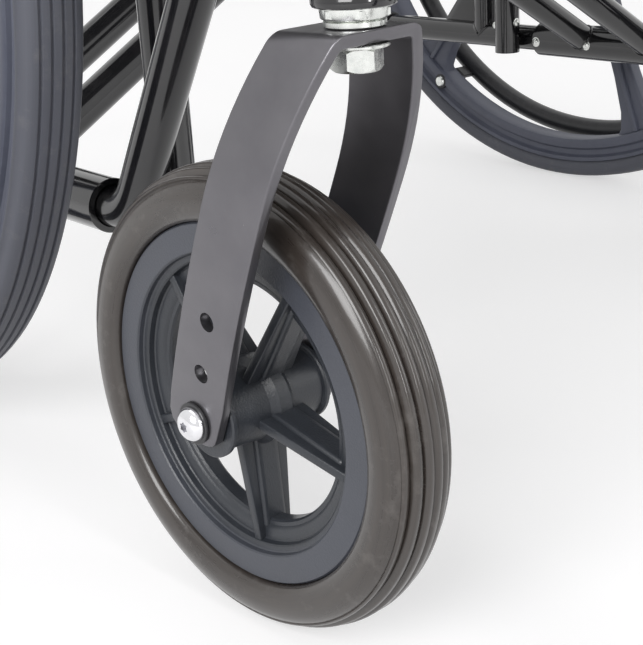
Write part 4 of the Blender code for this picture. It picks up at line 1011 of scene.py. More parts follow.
bothSides(joined(makeSideFrame(), makeCasterHousing(), makeAxlePlate(), makeArmCup(), makeArmLug(),
                 *[makeHangerLug(level) for level in frameSizes["hinges"]]),
          "sideFrame", "frame", "frame", ["side_frame"], 38)


def makeDome(radius, height, away):
    # A small domed bolt head on its washer, looking along X towards the chair's middle
    return turned([(away, 0), (away, radius * 1.25), (away - 0.0006, radius * 1.25), (away - 0.0007, radius),
                   (away - height * 0.5, radius * 0.93), (away - height * 0.85, radius * 0.62),
                   (away - height, 0)], 28)


bolts = [shift(makeDome(0.0032, 0.0026, frameX - tubeR + rise), 0, along, height)
         for along, height, rise in ((0.5130, 0.148, 0.0045), (0.5290, 0.147, 0.0040))]
bolts.append(shift(turn(makeDome(0.0032, 0.0026, 0.0), 90, "Z"), postX, 0.4750, 0.155))
bothSides(joined(*bolts), "frameBolts", "frame", "zinc", [], 35)

saddleSizes = {"bore": 0.0117, "halfWide": 0.0152, "halfLong": 0.015, "foot": 0.0172, "corner": 0.003}


def makeSaddle(along):
    # An open cradle that the seat rail drops into
    s = saddleSizes
    wide, foot = s["halfWide"], seatRailZ - s["foot"]
    ring = [onCircle(s["bore"], angle) for angle in range(-172, -7, 8)]
    outline = softened([(-wide, seatRailZ), (-wide, foot), (wide, foot), (wide, seatRailZ)],
                       [0, s["corner"], s["corner"], 0], 4)
    outline += [(x, seatRailZ + z) for x, z in reversed(ring)]
    return shift(plate(outline, along - s["halfLong"], along + s["halfLong"], "XZ", 0.0006), postX)


for end, along in (("front", frontY), ("rear", rearY)):
    bothSides(makeSaddle(along), f"seatSaddle_{end}", "frame", "plastic", [f"seat_saddle_{end}"], 35)


gripSizes = {"ribs": 14, "first": 0.6360, "pitch": 0.0050, "radius": 0.0136, "flange": 0.0142}


def makeGrip():
    # A moulded grip with finger ribs and a flange, closed at its end
    s = gripSizes
    bar, flange, ribs = s["radius"], s["flange"], []
    for index in range(s["ribs"]):
        at = s["first"] + index * s["pitch"]
        ribs += [(at, bar), (at + 0.0008, bar - 0.0005), (at + 0.0030, bar - 0.0005), (at + 0.0038, bar)]
    front = [(0.7172, 0.0), (0.7172, 0.0117), (0.6259, 0.0117), (0.6259, bar), (0.6264, flange),
             (0.6285, flange), (0.6292, bar)]
    end = [(0.7130, bar), (0.7138, flange), (0.7180, flange), (0.7192, 0.0134), (0.7196, 0.0110), (0.7196, 0.0)]
    return shift(turned(front + ribs + end, 48, "Y"), frameX, 0, chair["handleZ"])


bothSides(makeGrip(), "handGrip", "frame", "grip", ["hand_grip"], 40)

cap = turned([(0.6915, 0), (0.6915, 0.0114), (0.6600, 0.0114), (0.6600, 0.0128), (0.6606, 0.0133),
              (0.6940, 0.0133), (0.6956, 0.0126), (0.6960, 0.0110),
              (0.6960, 0)], 40, "Y")
bothSides(shift(cap, frameX, 0, railZ), "railCap", "frame", "plastic", ["rail_cap"], 35)
print("side frames made")


# Cross braces. Each has a sleeve that turns on a lower rail, two tubes and a seat rail.

braceSizes = {
    "left": {"feet": (0.341, 0.409), "bolts": ((0.4570, 0.138), (0.4000, 0.139), (0.2850, 0.139))},
    "right": {"feet": (0.375, 0.443), "bolts": ((0.4570, 0.139), (0.3300, 0.139), (0.2850, 0.139))},
    "sleeve": 0.0149, "bore": 0.00545, "seatRailFront": 0.030, "seatRailRear": 0.505,
}


def makeBrace(feet):
    # Made with its foot on the left rail and its seat rail on the right
    s = braceSizes
    foot, head = Vector((frameX, 0, railZ)), Vector((-postX, 0, seatRailZ))
    across = (head - foot).normalized()
    sleeve = turned([(0.2605, 0.0117), (0.2605, 0.0144), (0.2610, s["sleeve"]), (0.4615, s["sleeve"]),
                     (0.4620, 0.0144), (0.4620, 0.0117)], 48, "Y", ring=True)
    seatRail = bentTube([(-postX, s["seatRailFront"], seatRailZ), (-postX, s["seatRailRear"], seatRailZ)],
                        tubeR, 0, 40, tubeWall)
    tubes, beads = [], []
    for along in feet:
        low, high = foot + Vector((0, along, 0)), head + Vector((0, along, 0))
        tubes.append(bentTube([low + across * 0.0125, high - across * 0.004], tubeR, 0, 40))
        beads.append(bead(low, across, tubeR, low, (0, 1, 0), s["sleeve"]))
        beads.append(bead(high, -across, tubeR, high, (0, 1, 0), tubeR))
    bore = turned([(0.300, 0), (0.300, s["bore"]), (0.480, s["bore"]), (0.480, 0)], 32, "Y")
    cut(tubes[0], shift(bore, 0, 0, chair["pivotZ"]))      # the rear tube is left whole round the bolt
    return joined(shift(sleeve, frameX, 0, railZ), seatRail, *tubes, *beads)


def flipped(piece):
    # The piece becomes its own mirror image
    twin = mirrored(piece)
    bpy.data.objects.remove(piece)
    return twin


for word in ("left", "right"):
    s = braceSizes[word]
    brace = makeBrace(s["feet"])
    heads = joined(*[shift(makeDome(0.0034, 0.0028, frameX - 0.0146), 0, along, height)
                     for along, height in s["bolts"]])
    if word == "right":
        brace, heads = flipped(brace), flipped(heads)
    finished(brace, f"crossBrace_{word}", f"brace_{word}", "frame", [f"cross_brace_{word}"], 38)
    finished(heads, f"sleeveBolts_{word}", f"brace_{word}", "zinc", [], 35)
print("braces made")


# Drive wheels, made round the axle and then put in place

wheelSizes = {
    "spokes": 6, "spokeTurn": 40.0, "spokeHalf": 0.0075, "ribHalf": 0.0105,
    "handRim": 0.268, "handRimTube": 0.0095, "handRimOut": 0.036, "tabs": 6, "tabTurn": 34.6,
    "boltCircle": 0.2778,
}


def toHub(piece):
    return shift(piece, wheelX, rearY, chair["wheelRadius"])


def makeDriveWheel():
    s = wheelSizes
    rim = turned(bothFaces([
        (0.0125, 0.2899), (0.0125, 0.2872), (0.0119, 0.2864), (0.0092, 0.2856), (0.0080, 0.2842),
        (0.0078, 0.2800), (0.0088, 0.2786), (0.0112, 0.2778), (0.0118, 0.2768), (0.0118, 0.2712),
        (0.0110, 0.2694), (0.0086, 0.2684), (0.0040, 0.2680)]), 160, ring=True)
    hub = turned(bothFaces([(0.0300, 0.00675), (0.0300, 0.0190), (0.0290, 0.0200), (0.0150, 0.0236),
                            (0.0116, 0.0262), (0.0104, 0.0296), (0.0090, 0.0302)]), 64, ring=True)
    edge = [(0.0165, -0.0200), (0.0128, -0.0500), (0.0102, -0.1100), (0.0096, -0.1600), (0.0108, -0.2150),
            (0.0140, -0.2480), (0.0190, -0.2630), (0.0290, -0.2720)]
    spokes = []
    whole = [(-y, z) for y, z in reversed(edge)] + edge
    for index in range(s["spokes"]):
        spoke = plate(whole, -s["spokeHalf"], s["spokeHalf"], "YZ", 0.0030, 3)
        rib = plate([(-0.0030, -0.0220), (0.0030, -0.0220), (0.0026, -0.2690), (-0.0026, -0.2690)],
                    -s["ribHalf"], s["ribHalf"], "YZ", 0.0015, 2)
        spokes.append(turn(joined(spoke, rib), s["spokeTurn"] + 360 / s["spokes"] * index, "X"))
    return toHub(joined(rim, hub, *spokes))


def makeDriveTyre():
    return toHub(turned(bothFaces([
        (0.0125, 0.2903), (0.0138, 0.2910), (0.0150, 0.2924), (0.0157, 0.2944), (0.0160, 0.2968),
        (0.0158, 0.2990), (0.0150, 0.3010), (0.0138, 0.3025), (0.0120, 0.3036), (0.0096, 0.3043),
        (0.0090, 0.3032), (0.0080, 0.3032), (0.0074, 0.3046), (0.0040, 0.3050), (0.0034, 0.3038),
        (0.0024, 0.3038), (0.0018, 0.3050)]), 160,
                        ring=True))


def makeHandRim():
    # The ring with its tabs, the bolts through them and the bosses under those
    s = wheelSizes
    bpy.ops.object.select_all(action="DESELECT")
    bpy.ops.mesh.primitive_torus_add(major_radius=s["handRim"], minor_radius=s["handRimTube"],
                                     major_segments=160, minor_segments=22, rotation=(0, math.pi / 2, 0))
    ring = shift(settle(bpy.context.object), s["handRimOut"])
    tabs, bolts, bosses = [], [], []
    for index in range(s["tabs"]):
        angle = s["tabTurn"] + 360 / s["tabs"] * index
        foot = plate(oblong(-0.0085, -0.2850, 0.0085, -0.2700, 0.003), 0.0128, 0.0158, "YZ", 0.0006)
        arm = plate([(-0.0065, -0.2690), (0.0065, -0.2690), (0.0065, -0.2740), (-0.0065, -0.2740)], 0.0135,
                    s["handRimOut"], "YZ", 0.0010)
        tabs.append(turn(joined(foot, arm), angle, "X"))
        bolt = turned([(-0.0112, 0), (-0.0112, 0.0052), (-0.0124, 0.0055), (-0.0140, 0.0046),
                       (-0.0148, 0.0026), (-0.0150, 0)], 28)
        boss = turned([(-0.0080, 0), (-0.0080, 0.0078), (-0.0116, 0.0078), (-0.0122, 0.0072),
                       (-0.0122, 0)], 32)
        for piece, made in ((bolt, bolts), (boss, bosses)):
            made.append(turn(shift(piece, 0, 0, -s["boltCircle"]), angle, "X"))
    return [toHub(joined(*made)) for made in ([ring] + tabs, bolts, bosses)]


def makeRearAxle():
    nut = hexagon(0.2476, 0.2546, 0.0185)
    washer = turned([(0.2546, 0), (0.2546, 0.0104), (0.2552, 0.0105), (0.2552, 0)], 40)
    bolt = turned([(0.2472, 0), (0.2472, 0.0052), (0.2480, 0.00635), (0.3820, 0.00635), (0.3820, 0)], 36)
    spacer = turned([(0.3009, 0.0060), (0.3009, 0.0110), (0.3014, 0.0115), (0.3198, 0.0115), (0.3203, 0.0110),
                     (0.3203, 0.0060)], 40, ring=True)
    cap = turned([(0.3809, 0), (0.3809, 0.0108), (0.3816, 0.0110), (0.3836, 0.0101), (0.3850, 0.0080),
                  (0.3858, 0.0045), (0.3859, 0)], 48)
    return shift(joined(nut, washer, bolt, spacer, cap), 0, rearY, chair["wheelRadius"])


bothSides(makeDriveWheel(), "driveWheel", "rear_roll", "drive", ["rear_wheel"], 35)
bothSides(makeDriveTyre(), "driveTyre", "rear_roll", "driveRubber", ["rear_tyre"], 50)
handRim, rimBolts, rimBosses = makeHandRim()
bothSides(handRim, "handRim", "rear_roll", "satin", ["hand_rim"], 40)
bothSides(rimBolts, "handRimBolts", "rear_roll", "zinc", [], 35)
bothSides(rimBosses, "handRimBosses", "rear_roll", "plastic", [], 35)
bothSides(makeRearAxle(), "rearAxle", "frame", "zinc", ["rear_axle"], 30)
print("drive wheels made")


# Pivot bolt of the braces: a head, spacers between the tubes and a nut

def makePivotBolt():
    head = hexagon(0.3236, 0.3290, 0.0150, "Y")
    washer = turned([(0.3288, 0), (0.3288, 0.0095), (0.3296, 0.0095), (0.3296, 0)], 36, "Y")
    shank = turned([(0.3288, 0), (0.3288, 0.0050), (0.4630, 0.0050), (0.4644, 0.0038), (0.4644, 0)], 32, "Y")
    spacers = [turned([(low, 0.0045), (low, 0.0082), (low + 0.0004, 0.0085), (low + 0.0108, 0.0085),
                       (low + 0.0112, 0.0082), (low + 0.0112, 0.0045)], 36, "Y", ring=True)
               for low in (0.3524, 0.3864, 0.4204)]
    return shift(joined(head, washer, shank, *spacers), 0, 0, chair["pivotZ"])


pivotNut = shift(hexagon(0.4544, 0.4614, 0.0160, "Y", 0.0053), 0, 0, chair["pivotZ"])
finished(makePivotBolt(), "bracePivotBolt", "brace_right", "zinc", ["brace_pivot_bolt"], 30)
finished(pivotNut, "bracePivotNut", "brace_right", "zinc", ["brace_pivot_nut"], 30)


# Arms and skirt guards

armSizes = {
    "frontY": 0.075, "socketZ": 0.4425, "topZ": 0.700, "bend": 0.040, "lowerZ": 0.515, "lowerRadius": 0.00874,
    "guard": (0.0848, 0.5248, 0.5222, 0.6902), "guardCorner": 0.0305,
    "ribs": ((0.016, 0.0030), (0.026, 0.0026)),
}


def makeArmFrame():
    s = armSizes
    front, top, lowerZ, pivotZ = s["frontY"], s["topZ"], s["lowerZ"], chair["armPivotZ"]
    loop = bentTube([(armX, front, s["socketZ"]), (armX, front, top), (armX, caneY, top),
                     (armX, caneY, pivotZ)], thinR, s["bend"], 32)
    lower = bentTube([(armX, front, lowerZ), (armX, caneY, lowerZ)], s["lowerRadius"], 0, 32)
    boss = turned([(armX - 0.0101, 0.0044), (armX - 0.0101, 0.0119), (armX - 0.0095, 0.0125),
                   (armX + 0.0095, 0.0125), (armX + 0.0101, 0.0119), (armX + 0.0101, 0.0044)], 48, ring=True)
    cut(loop, shift(rod(armX - 0.02, armX + 0.02, 0.0120, 40), 0, caneY, pivotZ))
    beads = []
    for at, way in ((front, 1), (caneY, -1)):
        spot = (armX, at, lowerZ)
        beads.append(bead(spot, (0, way, 0), s["lowerRadius"], spot, (0, 0, 1), thinR, 0.0011))
    return joined(loop, lower, shift(boss, 0, caneY, pivotZ), *beads)


def guardOutline(inset):
    y0, z0, y1, z1 = armSizes["guard"]
    return oblong(y0 + inset, z0 + inset, y1 - inset, z1 - inset, armSizes["guardCorner"] - inset * 0.6, 8)


def makeSkirtGuard():
    flat = plate(guardOutline(0.0), armX - 0.0015, armX + 0.0015, "YZ", 0.0009)
    ribs = []
    for inset, wide in armSizes["ribs"]:
        outer = plate(guardOutline(inset), armX - 0.0027, armX + 0.0027, "YZ", 0)
        hole = plate(guardOutline(inset + wide), armX - 0.004, armX + 0.004, "YZ", 0)
        ribs.append(bevel(cut(outer, hole), 0.0007, 2, 50))
    return joined(flat, *ribs)


def makeArmBolt():
    head = turned([(0.3275, 0), (0.3275, 0.0074), (0.3280, 0.0075), (0.3295, 0.0070), (0.3306, 0.0056),
                   (0.3313, 0.0034), (0.3315, 0)], 40)
    cut(head, turn(hexagon(0.3300, 0.3330, 0.0040), 10, "X"))
    shank = turned([(0.2826, 0), (0.2826, 0.0034), (0.2832, 0.0040), (0.3277, 0.0040), (0.3277, 0)], 32)
    return shift(joined(head, shank), 0, caneY, chair["armPivotZ"])


bothSides(makeArmFrame(), "armFrame", "arm", "frame", ["arm_frame"], 40)
bothSides(makeSkirtGuard(), "skirtGuard", "arm", "plastic", ["skirt_guard"], 35)
bothSides(makeArmBolt(), "armPivotBolt", "frame", "zinc", ["arm_pivot_bolt"], 30)


# Footrests

footSizes = {
    "hangerY": -0.053, "hangerLow": 0.290, "hangerTop": 0.452, "hangerFront": -0.112, "latchZ": 0.427,
    "postRadius": 0.0075, "barRadius": 0.0060, "barHalf": 0.071,
    "plateIn": 0.020, "plateHalf": 0.075, "plateLow": 0.012, "plateHigh": 0.202, "plateCorner": 0.022,
    "uprightRibs": (-0.042, -0.021, 0.0, 0.021, 0.042), "crossRibs": (0.060, 0.105, 0.150),
    "treadRows": 13, "treadColumns": 7, "treadUp": 0.0125, "treadAcross": 0.0185, "knuckle": 0.049,
}
hangerEnd = Vector((frameX, -0.2513, 0.190))
postEnd = Vector((frameX, -0.2912, 0.115))
hangerWay = (postEnd - hangerEnd).normalized()
alongHanger = hangerWay.to_track_quat("Z", "Y").to_matrix().to_4x4()


def makeHanger():
    s = footSizes
    x, y, top, tab = frameX, s["hangerY"], s["hangerTop"], frameSizes["hingeTab"]
    bar = bentTube([(x, y, s["hangerLow"]), (x, y, top), (x, s["hangerFront"], top), tuple(hangerEnd)], thinR,
                   [0.028, 0.026], 32)
    bore = place(rod(-0.0450, 0.0200, 0.0079, 32, "Z"), alongHanger)
    cut(bar, shift(bore, *hangerEnd))
    ears = []
    for level in frameSizes["hinges"]:
        ear = plate(softened([(x - tab, y), (x + tab, y), (x + tab, -0.0225), (x - tab, -0.0225)],
                             [0, 0, 0.0080, 0.0080], 8), level, level + 0.0045, "XY", 0.0007)
        hole = shift(rod(level - 0.002, level + 0.008, 0.0056, 28, "Z"), x, frameSizes["hingeY"])
        ears.append(cut(ear, hole))
    stud = turned([(x - 0.0158, 0), (x - 0.0158, 0.0026), (x - 0.0154, 0.0030), (x - 0.002, 0.0030),
                   (x - 0.002, 0)], 24)
    clamp = place(turned([(-0.020, 0.0094), (-0.020, 0.0108), (-0.0192, 0.0114), (-0.0008, 0.0114),
                          (0.0, 0.0108), (0.0, 0.0094)], 40, "Z", ring=True), alongHanger)
    return joined(bar, *ears, shift(stud, 0, y, s["latchZ"]), shift(clamp, *hangerEnd))


def makeFootrestPost():
    s = footSizes
    stem = bentTube([tuple(hangerEnd - hangerWay * 0.040), tuple(postEnd)], s["postRadius"], 0, 32)
    half, bar = s["barHalf"], s["barRadius"]
    foot = turned([(-half, 0), (-half, bar - 0.0008), (0.0008 - half, bar), (half - 0.0008, bar),
                   (half, bar - 0.0008), (half, 0)], 32, "Y")
    ring = bead(postEnd, -hangerWay, s["postRadius"], postEnd, (0, 1, 0), bar + 0.0002, 0.0011)
    return joined(stem, shift(foot, frameX, postEnd.y, postEnd.z), ring)


def makeFootplate():
    # Stored folded up, with its tread facing outwards and ribs at the back
    s = footSizes
    x, y, z = frameX - s["plateIn"], postEnd.y, postEnd.z
    half = s["plateHalf"]
    flat = plate(oblong(y - half, z + s["plateLow"], y + half, z + s["plateHigh"], s["plateCorner"], 8),
                 x - 0.003, x + 0.003, "YZ", 0.0012, 3)
    ribs = [block((x - 0.009, y + at - 0.002, z + 0.020), (x, y + at + 0.002, z + 0.180), 0.0008)
            for at in s["uprightRibs"]]
    ribs += [block((x - 0.007, y - 0.060, z + up - 0.002), (x, y + 0.060, z + up + 0.002), 0.0008)
             for up in s["crossRibs"]]
    treads, columns = [], s["treadColumns"]
    for row in range(s["treadRows"]):
        for column in range(columns):
            at = (column - columns // 2) * s["treadAcross"] + (0.0092 if row % 2 else 0)
            up = z + 0.034 + row * s["treadUp"]
            if abs(at) <= 0.058:
                treads.append(block((x + 0.0026, y + at - 0.0065, up - 0.0012),
                                    (x + 0.0040, y + at + 0.0065, up + 0.0012), 0.0005))
    knuckles = []
    for side in (-1, 1):
        at = y + side * s["knuckle"]
        low, high = at - 0.018, at + 0.018
        ring = turned([(low, 0.0066), (low, 0.0100), (low + 0.0005, 0.0105), (high - 0.0005, 0.0105),
                       (high, 0.0100), (high, 0.0066)], 40, "Y", ring=True)
        web = plate([(x - 0.003, z - 0.006), (frameX - 0.004, z - 0.008), (frameX - 0.0078, z + 0.006),
                     (x + 0.003, z + 0.010), (x + 0.003, z + 0.030), (x - 0.003, z + 0.030)],
                    low, high, "XZ", 0.0008)
        knuckles += [shift(ring, frameX, 0, z), web]
    return joined(flat, *ribs, *treads, *knuckles)


def makeLatch():
    inner = frameX - thinR - 0.0003
    outline = softened([(-0.0123, 0.418), (-0.0123, 0.428), (-0.059, 0.434), (-0.089, 0.450), (-0.105, 0.466),
                        (-0.111, 0.461), (-0.093, 0.440), (-0.059, 0.420)],
                       [0.001, 0.001, 0.010, 0.010, 0.002, 0.002, 0.010, 0.010], 4)
    lever = plate(outline, inner - 0.0035, inner, "YZ", 0.0007)
    cut(lever, shift(rod(inner - 0.01, inner + 0.01, 0.0034, 24), 0, footSizes["hangerY"],
                     footSizes["latchZ"]))
    tab = plate(softened([(inner - 0.018, -0.111), (inner - 0.001, -0.111), (inner - 0.001, -0.099),
                          (inner - 0.018, -0.099)], [0.004, 0, 0, 0.004], 5), 0.459, 0.463, "XY", 0.0009)
    return joined(lever, tab)


bothSides(makeHanger(), "footrestHanger", "hanger", "frame", ["footrest_hanger"], 38)
bothSides(makeFootrestPost(), "footrestPost", "hanger", "satin", ["footrest_post"], 38)
bothSides(makeFootplate(), "footplate", "footplate_flap", "plastic", ["footplate"], 35)
bothSides(makeLatch(), "footrestLatch", "latch", "satin", ["footrest_latch"], 35)
print("footrests made")


# Wheel locks

lockSizes = {
    "leverSpot": (0.150, 0.462), "shoeSpot": (0.172, 0.418), "barSpot": (0.194, 0.456),
    "plate": 0.004, "bracketX": frameX + tubeR + 0.0003, "leverX": armX + thinR + 0.010,
    "knobRibs": 8, "knobFirst": 0.5470, "knobPitch": 0.0060, "knobRadius": 0.0093,
}


def makeLockBracket():
    s = lockSizes
    inner, face = s["bracketX"], s["leverX"]
    flat = plate(softened([(0.134, 0.426), (0.162, 0.406), (0.184, 0.406), (0.186, 0.440), (0.164, 0.474),
                           (0.134, 0.474)], 0.005), inner, inner + s["plate"], "YZ", 0.0007)
    clamps = [block((frameX - 0.004, at - 0.006, 0.4505), (inner + 0.002, at + 0.006, 0.4535), 0.0008)
              for at in (0.142, 0.176)]
    studs = [shift(rod(low, high, radius, sides), 0, *spot) for low, high, radius, sides, spot in (
        (inner + 0.001, face - 0.0003, 0.006, 32, s["leverSpot"]),
        (face - 0.001, face + 0.007, 0.004, 28, s["leverSpot"]),
        (inner + 0.001, inner + 0.0113, 0.004, 28, s["shoeSpot"]))]
    return joined(flat, *clamps, *studs)


def makeLockLever():
    low = lockSizes["leverX"]
    arm = plate(softened([(0.139, 0.452), (0.161, 0.452), (0.162, 0.474), (0.174, 0.592), (0.162, 0.592),
                          (0.140, 0.474)], [0.008, 0.008, 0.006, 0.002, 0.002, 0.006]),
                low, low + lockSizes["plate"], "YZ", 0.0008)
    return cut(arm, shift(rod(low - 0.02, low + 0.02, 0.0044, 28), 0, *lockSizes["leverSpot"]))


def makeLockKnob():
    s = lockSizes
    ribs, radius = [], s["knobRadius"]
    for index in range(s["knobRibs"]):
        at = s["knobFirst"] + index * s["knobPitch"]
        ribs += [(at, radius), (at + 0.0010, radius - 0.0005), (at + 0.0032, radius - 0.0005),
                 (at + 0.0042, radius)]
    knob = turned([(0.5420, 0), (0.5420, 0.0080), (0.5430, radius)] + ribs +
                  [(0.5970, radius), (0.5990, 0.0082), (0.6000, 0.0050), (0.6002, 0)], 40, "Z")
    return shift(knob, s["leverX"] + 0.002, 0.166)


def makeLockShoe():
    s = lockSizes
    low = s["bracketX"] + 0.0043
    arm = plate(softened([(0.163, 0.410), (0.181, 0.410), (0.199, 0.456), (0.194, 0.461), (0.187, 0.458),
                          (0.163, 0.426)], [0.006, 0.006, 0.003, 0.003, 0.002, 0.006]),
                low, low + s["plate"], "YZ", 0.0007)
    bar = turned([(low + 0.001, 0), (low + 0.001, 0.0060), (low + 0.012, 0.0060), (low + 0.0124, 0.0057),
                  (wheelX - 0.0150, 0.0057), (wheelX - 0.0146, 0.0060), (wheelX + 0.0152, 0.0060),
                  (wheelX + 0.0160, 0.0052), (wheelX + 0.0160, 0)], 36)
    cut(arm, shift(rod(low - 0.02, low + 0.02, 0.0044, 28), 0, *s["shoeSpot"]))
    return joined(arm, shift(bar, 0, *s["barSpot"]))


bothSides(makeLockBracket(), "wheelLockBracket", "frame", "satin", ["wheel_lock_bracket"], 35)
bothSides(makeLockLever(), "wheelLockLever", "lock_lever", "satin", ["wheel_lock_lever"], 35)
bothSides(makeLockKnob(), "wheelLockKnob", "lock_lever", "grip", [], 40)
bothSides(makeLockShoe(), "wheelLockShoe", "lock_shoe", "zinc", ["wheel_lock_shoe"], 35)
print("wheel locks made")


# Seat and back: coated nylon with hems, stitches and screws. Each piece is cut flat, with X across, Y along
# and Z off the cloth, and is then laid on its line.

def flatCloth(x0, y0, x1, y1, low, high, across=60, along=30):
    bpy.ops.object.select_all(action="DESELECT")
    bpy.ops.mesh.primitive_grid_add(x_subdivisions=across, y_subdivisions=along, size=1.0)
    piece = bpy.context.object
    piece.scale = (x1 - x0, y1 - y0, 1.0)
    piece.location = ((x0 + x1) / 2, (y0 + y1) / 2, low)
    bpy.context.view_layer.update()
    settle(piece)
    modify(piece, "SOLIDIFY", thickness=high - low, offset=1.0, use_even_offset=True)
    return bevel(piece, min(0.0005, (high - low) / 3), 1, 60)


def stitches(x0, y0, x1, y1, lift, pitch=0.0050):
    # A row of thread from one point to the other
    length = math.hypot(x1 - x0, y1 - y0)
    count = int(length / pitch)
    stitch = block((-0.0015, -0.00035, lift - 0.0002), (0.0015, 0.00035, lift + 0.00045), 0.00015)
    modify(stitch, "ARRAY", count=count, use_relative_offset=False, use_constant_offset=True,
           constant_offset_displace=(length / count, 0, 0))
    turn(stitch, math.degrees(math.atan2(y1 - y0, x1 - x0)), "Z")
    return shift(stitch, x0, y0)


def mapOnto(piece, flatten):
    # UV from the flat cut, one unit to a metre
    layer = piece.data.uv_layers.active or piece.data.uv_layers.new(name="UVMap")
    for loop in piece.data.loops:
        layer.data[loop.index].uv = flatten(piece.data.vertices[loop.vertex_index].co)
    return piece


def mapFlat(piece):
    return mapOnto(piece, lambda corner: (corner.x, corner.y + corner.z))


seatSizes = {
    "halfWide": 0.2685, "sag": 0.012, "skin": 0.0116, "wrap": 0.0098, "edge": 0.2790, "thick": 0.0016,
    "front": 0.0450, "rear": 0.5000, "hem": 0.0260, "hemLows": (0.0454, 0.4736), "hemThick": 0.0028,
    "rows": (0.0484, 0.0686, 0.4766, 0.4968), "sideRows": (-0.2500, -0.2450, 0.2450, 0.2500),
    "screws": 8, "screwX": 0.2690, "firstScrew": 0.0620, "screwPitch": 0.0600, "fold": 0.0011, "pull": 0.0007,
}


def seatLine(x):
    # Height and slope of the cloth's underside: a sag between the rails, then round their tops
    s = seatSizes
    away, wide, skin = abs(x), s["halfWide"], s["skin"]
    if away <= wide:
        height = seatRailZ + math.sqrt(skin ** 2 - (postX - wide) ** 2)
        return height - s["sag"] * (1 - (away / wide) ** 2), math.copysign(2 * s["sag"] * away / wide ** 2, x)
    run = min(away - postX, s["wrap"])
    rise = math.sqrt(skin ** 2 - run * run)
    return seatRailZ + rise, math.copysign(run / rise, x)


def layOnSeat(piece):
    s = seatSizes
    for corner in piece.data.vertices:
        x, y, lift = corner.co
        height, slope = seatLine(x)
        middle = max(0.0, 1 - (x / 0.262) ** 2)
        folds = s["fold"] * middle * math.sin(x * 23 + 1.3 * math.sin(y * 17)) * math.sin(y * 31 + x * 5)
        pull = s["pull"] * math.sin(y * 114) * max(0.0, 1 - abs(abs(x) - 0.235) / 0.035)
        out = Vector((-slope, 0, 1)).normalized()
        corner.co = (x + out.x * lift, y, height + folds + pull + out.z * lift)
    piece.data.update()
    return piece


def blendSeat(piece, name, finish, replaces=()):
    finished(piece, name, None, finish, replaces, 50)
    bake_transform(piece)
    return piece


def makeSeatScrew(side, index):
    # A screw on its cup washer
    s = seatSizes
    screw = turned([(0.0016, 0), (0.0016, 0.0068), (0.0019, 0.0072), (0.0025, 0.0066), (0.0030, 0.0042),
                    (0.0044, 0.0038), (0.0050, 0.0022), (0.0051, 0)], 24, "Z")
    return layOnSeat(shift(screw, side * s["screwX"], s["firstScrew"] + index * s["screwPitch"]))


edge, thick, hemEdge = seatSizes["edge"], seatSizes["thick"], seatSizes["edge"] - 0.0005
seat = layOnSeat(mapFlat(flatCloth(-edge, seatSizes["front"], edge, seatSizes["rear"], 0.0, thick, 110, 70)))
hems = joined(*[layOnSeat(mapFlat(flatCloth(-hemEdge, low, hemEdge, low + seatSizes["hem"], thick - 0.0001,
                                            seatSizes["hemThick"], 110, 4))) for low in seatSizes["hemLows"]])
rows = joined(*[layOnSeat(stitches(-0.2660, y, 0.2660, y, seatSizes["hemThick"])) for y in seatSizes["rows"]])
sideRows = joined(*[layOnSeat(stitches(x, 0.0740, x, 0.4720, thick)) for x in seatSizes["sideRows"]])
screws = [makeSeatScrew(side, index) for side in (-1, 1) for index in range(seatSizes["screws"])]
blendSeat(seat, "seatCloth", "cloth", ["seat_upholstery"])
blendSeat(hems, "seatHems", "cloth")
blendSeat(joined(rows, sideRows), "seatStitches", "thread")
blendSeat(joined(*screws), "seatScrews", "zinc")

backSizes = {
    "halfWide": 0.2790, "sag": 0.020, "low": 0.0350, "high": 0.3630, "thick": 0.0016, "fold": 0.0012,
    "hem": 0.0240, "hemLows": (0.0354, 0.3386), "hemLayers": ((0.0015, 0.0027), (-0.0011, 0.0001)),
    "rows": (0.0384, 0.0570, 0.3410, 0.3596), "sideRows": (-0.2690, -0.2630, 0.2630, 0.2690),
    "pocket": 0.0134,
}
backWide = backSizes["halfWide"]


def layOnBack(piece):
    # Across the canes. Y of the flat cut runs up them, from their bend.
    lean, sag = math.radians(chair["recline"]), backSizes["sag"]
    for corner in piece.data.vertices:
        x, up, lift = corner.co
        middle = max(0.0, 1 - (x / backWide) ** 2)
        waves = math.sin(x * 19 + 1.1 * math.sin(up * 23)) * math.sin(up * 29 + x * 7)
        edgeDip = 0.0025 * middle * (abs(up - 0.199) / 0.164) ** 4
        out = Vector((2 * sag * x / backWide ** 2, 1, 0)).normalized()
        rear = sag * middle + backSizes["fold"] * middle * waves + edgeDip + out.y * lift - 0.001
        corner.co = (x + out.x * lift, caneY + up * math.sin(lean) + rear * math.cos(lean),
                     reclineZ + up * math.cos(lean) - rear * math.sin(lean))
    piece.data.update()
    return piece


def makePocket():
    # The cloth tube round a cane, with a turned-over end at the top and the bottom
    low, high, radius = backSizes["low"], backSizes["high"], backSizes["pocket"]
    rings = [(low, 0.0120), (low, 0.0141), (0.0358, 0.0145), (0.0560, 0.0145), (0.0568, 0.0138)]
    rings += [(0.060 + k * 0.0125, radius + 0.00035 * math.sin(k * 1.9)) for k in range(23)]
    rings += [(0.3412, 0.0138), (0.3420, 0.0145), (0.3622, 0.0145), (high, 0.0141), (high, 0.0120)]
    tube = mapOnto(turned(rings, 40, "Z", ring=True),
                   lambda corner: (math.atan2(corner.y, corner.x) * radius, corner.z))
    return shift(turn(tube, -chair["recline"], "X"), frameX, caneY, reclineZ)


def squashBack(piece, name, finish, replaces=()):
    finished(piece, name, "frame_right", finish, replaces, 50)
    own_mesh(piece)
    return piece


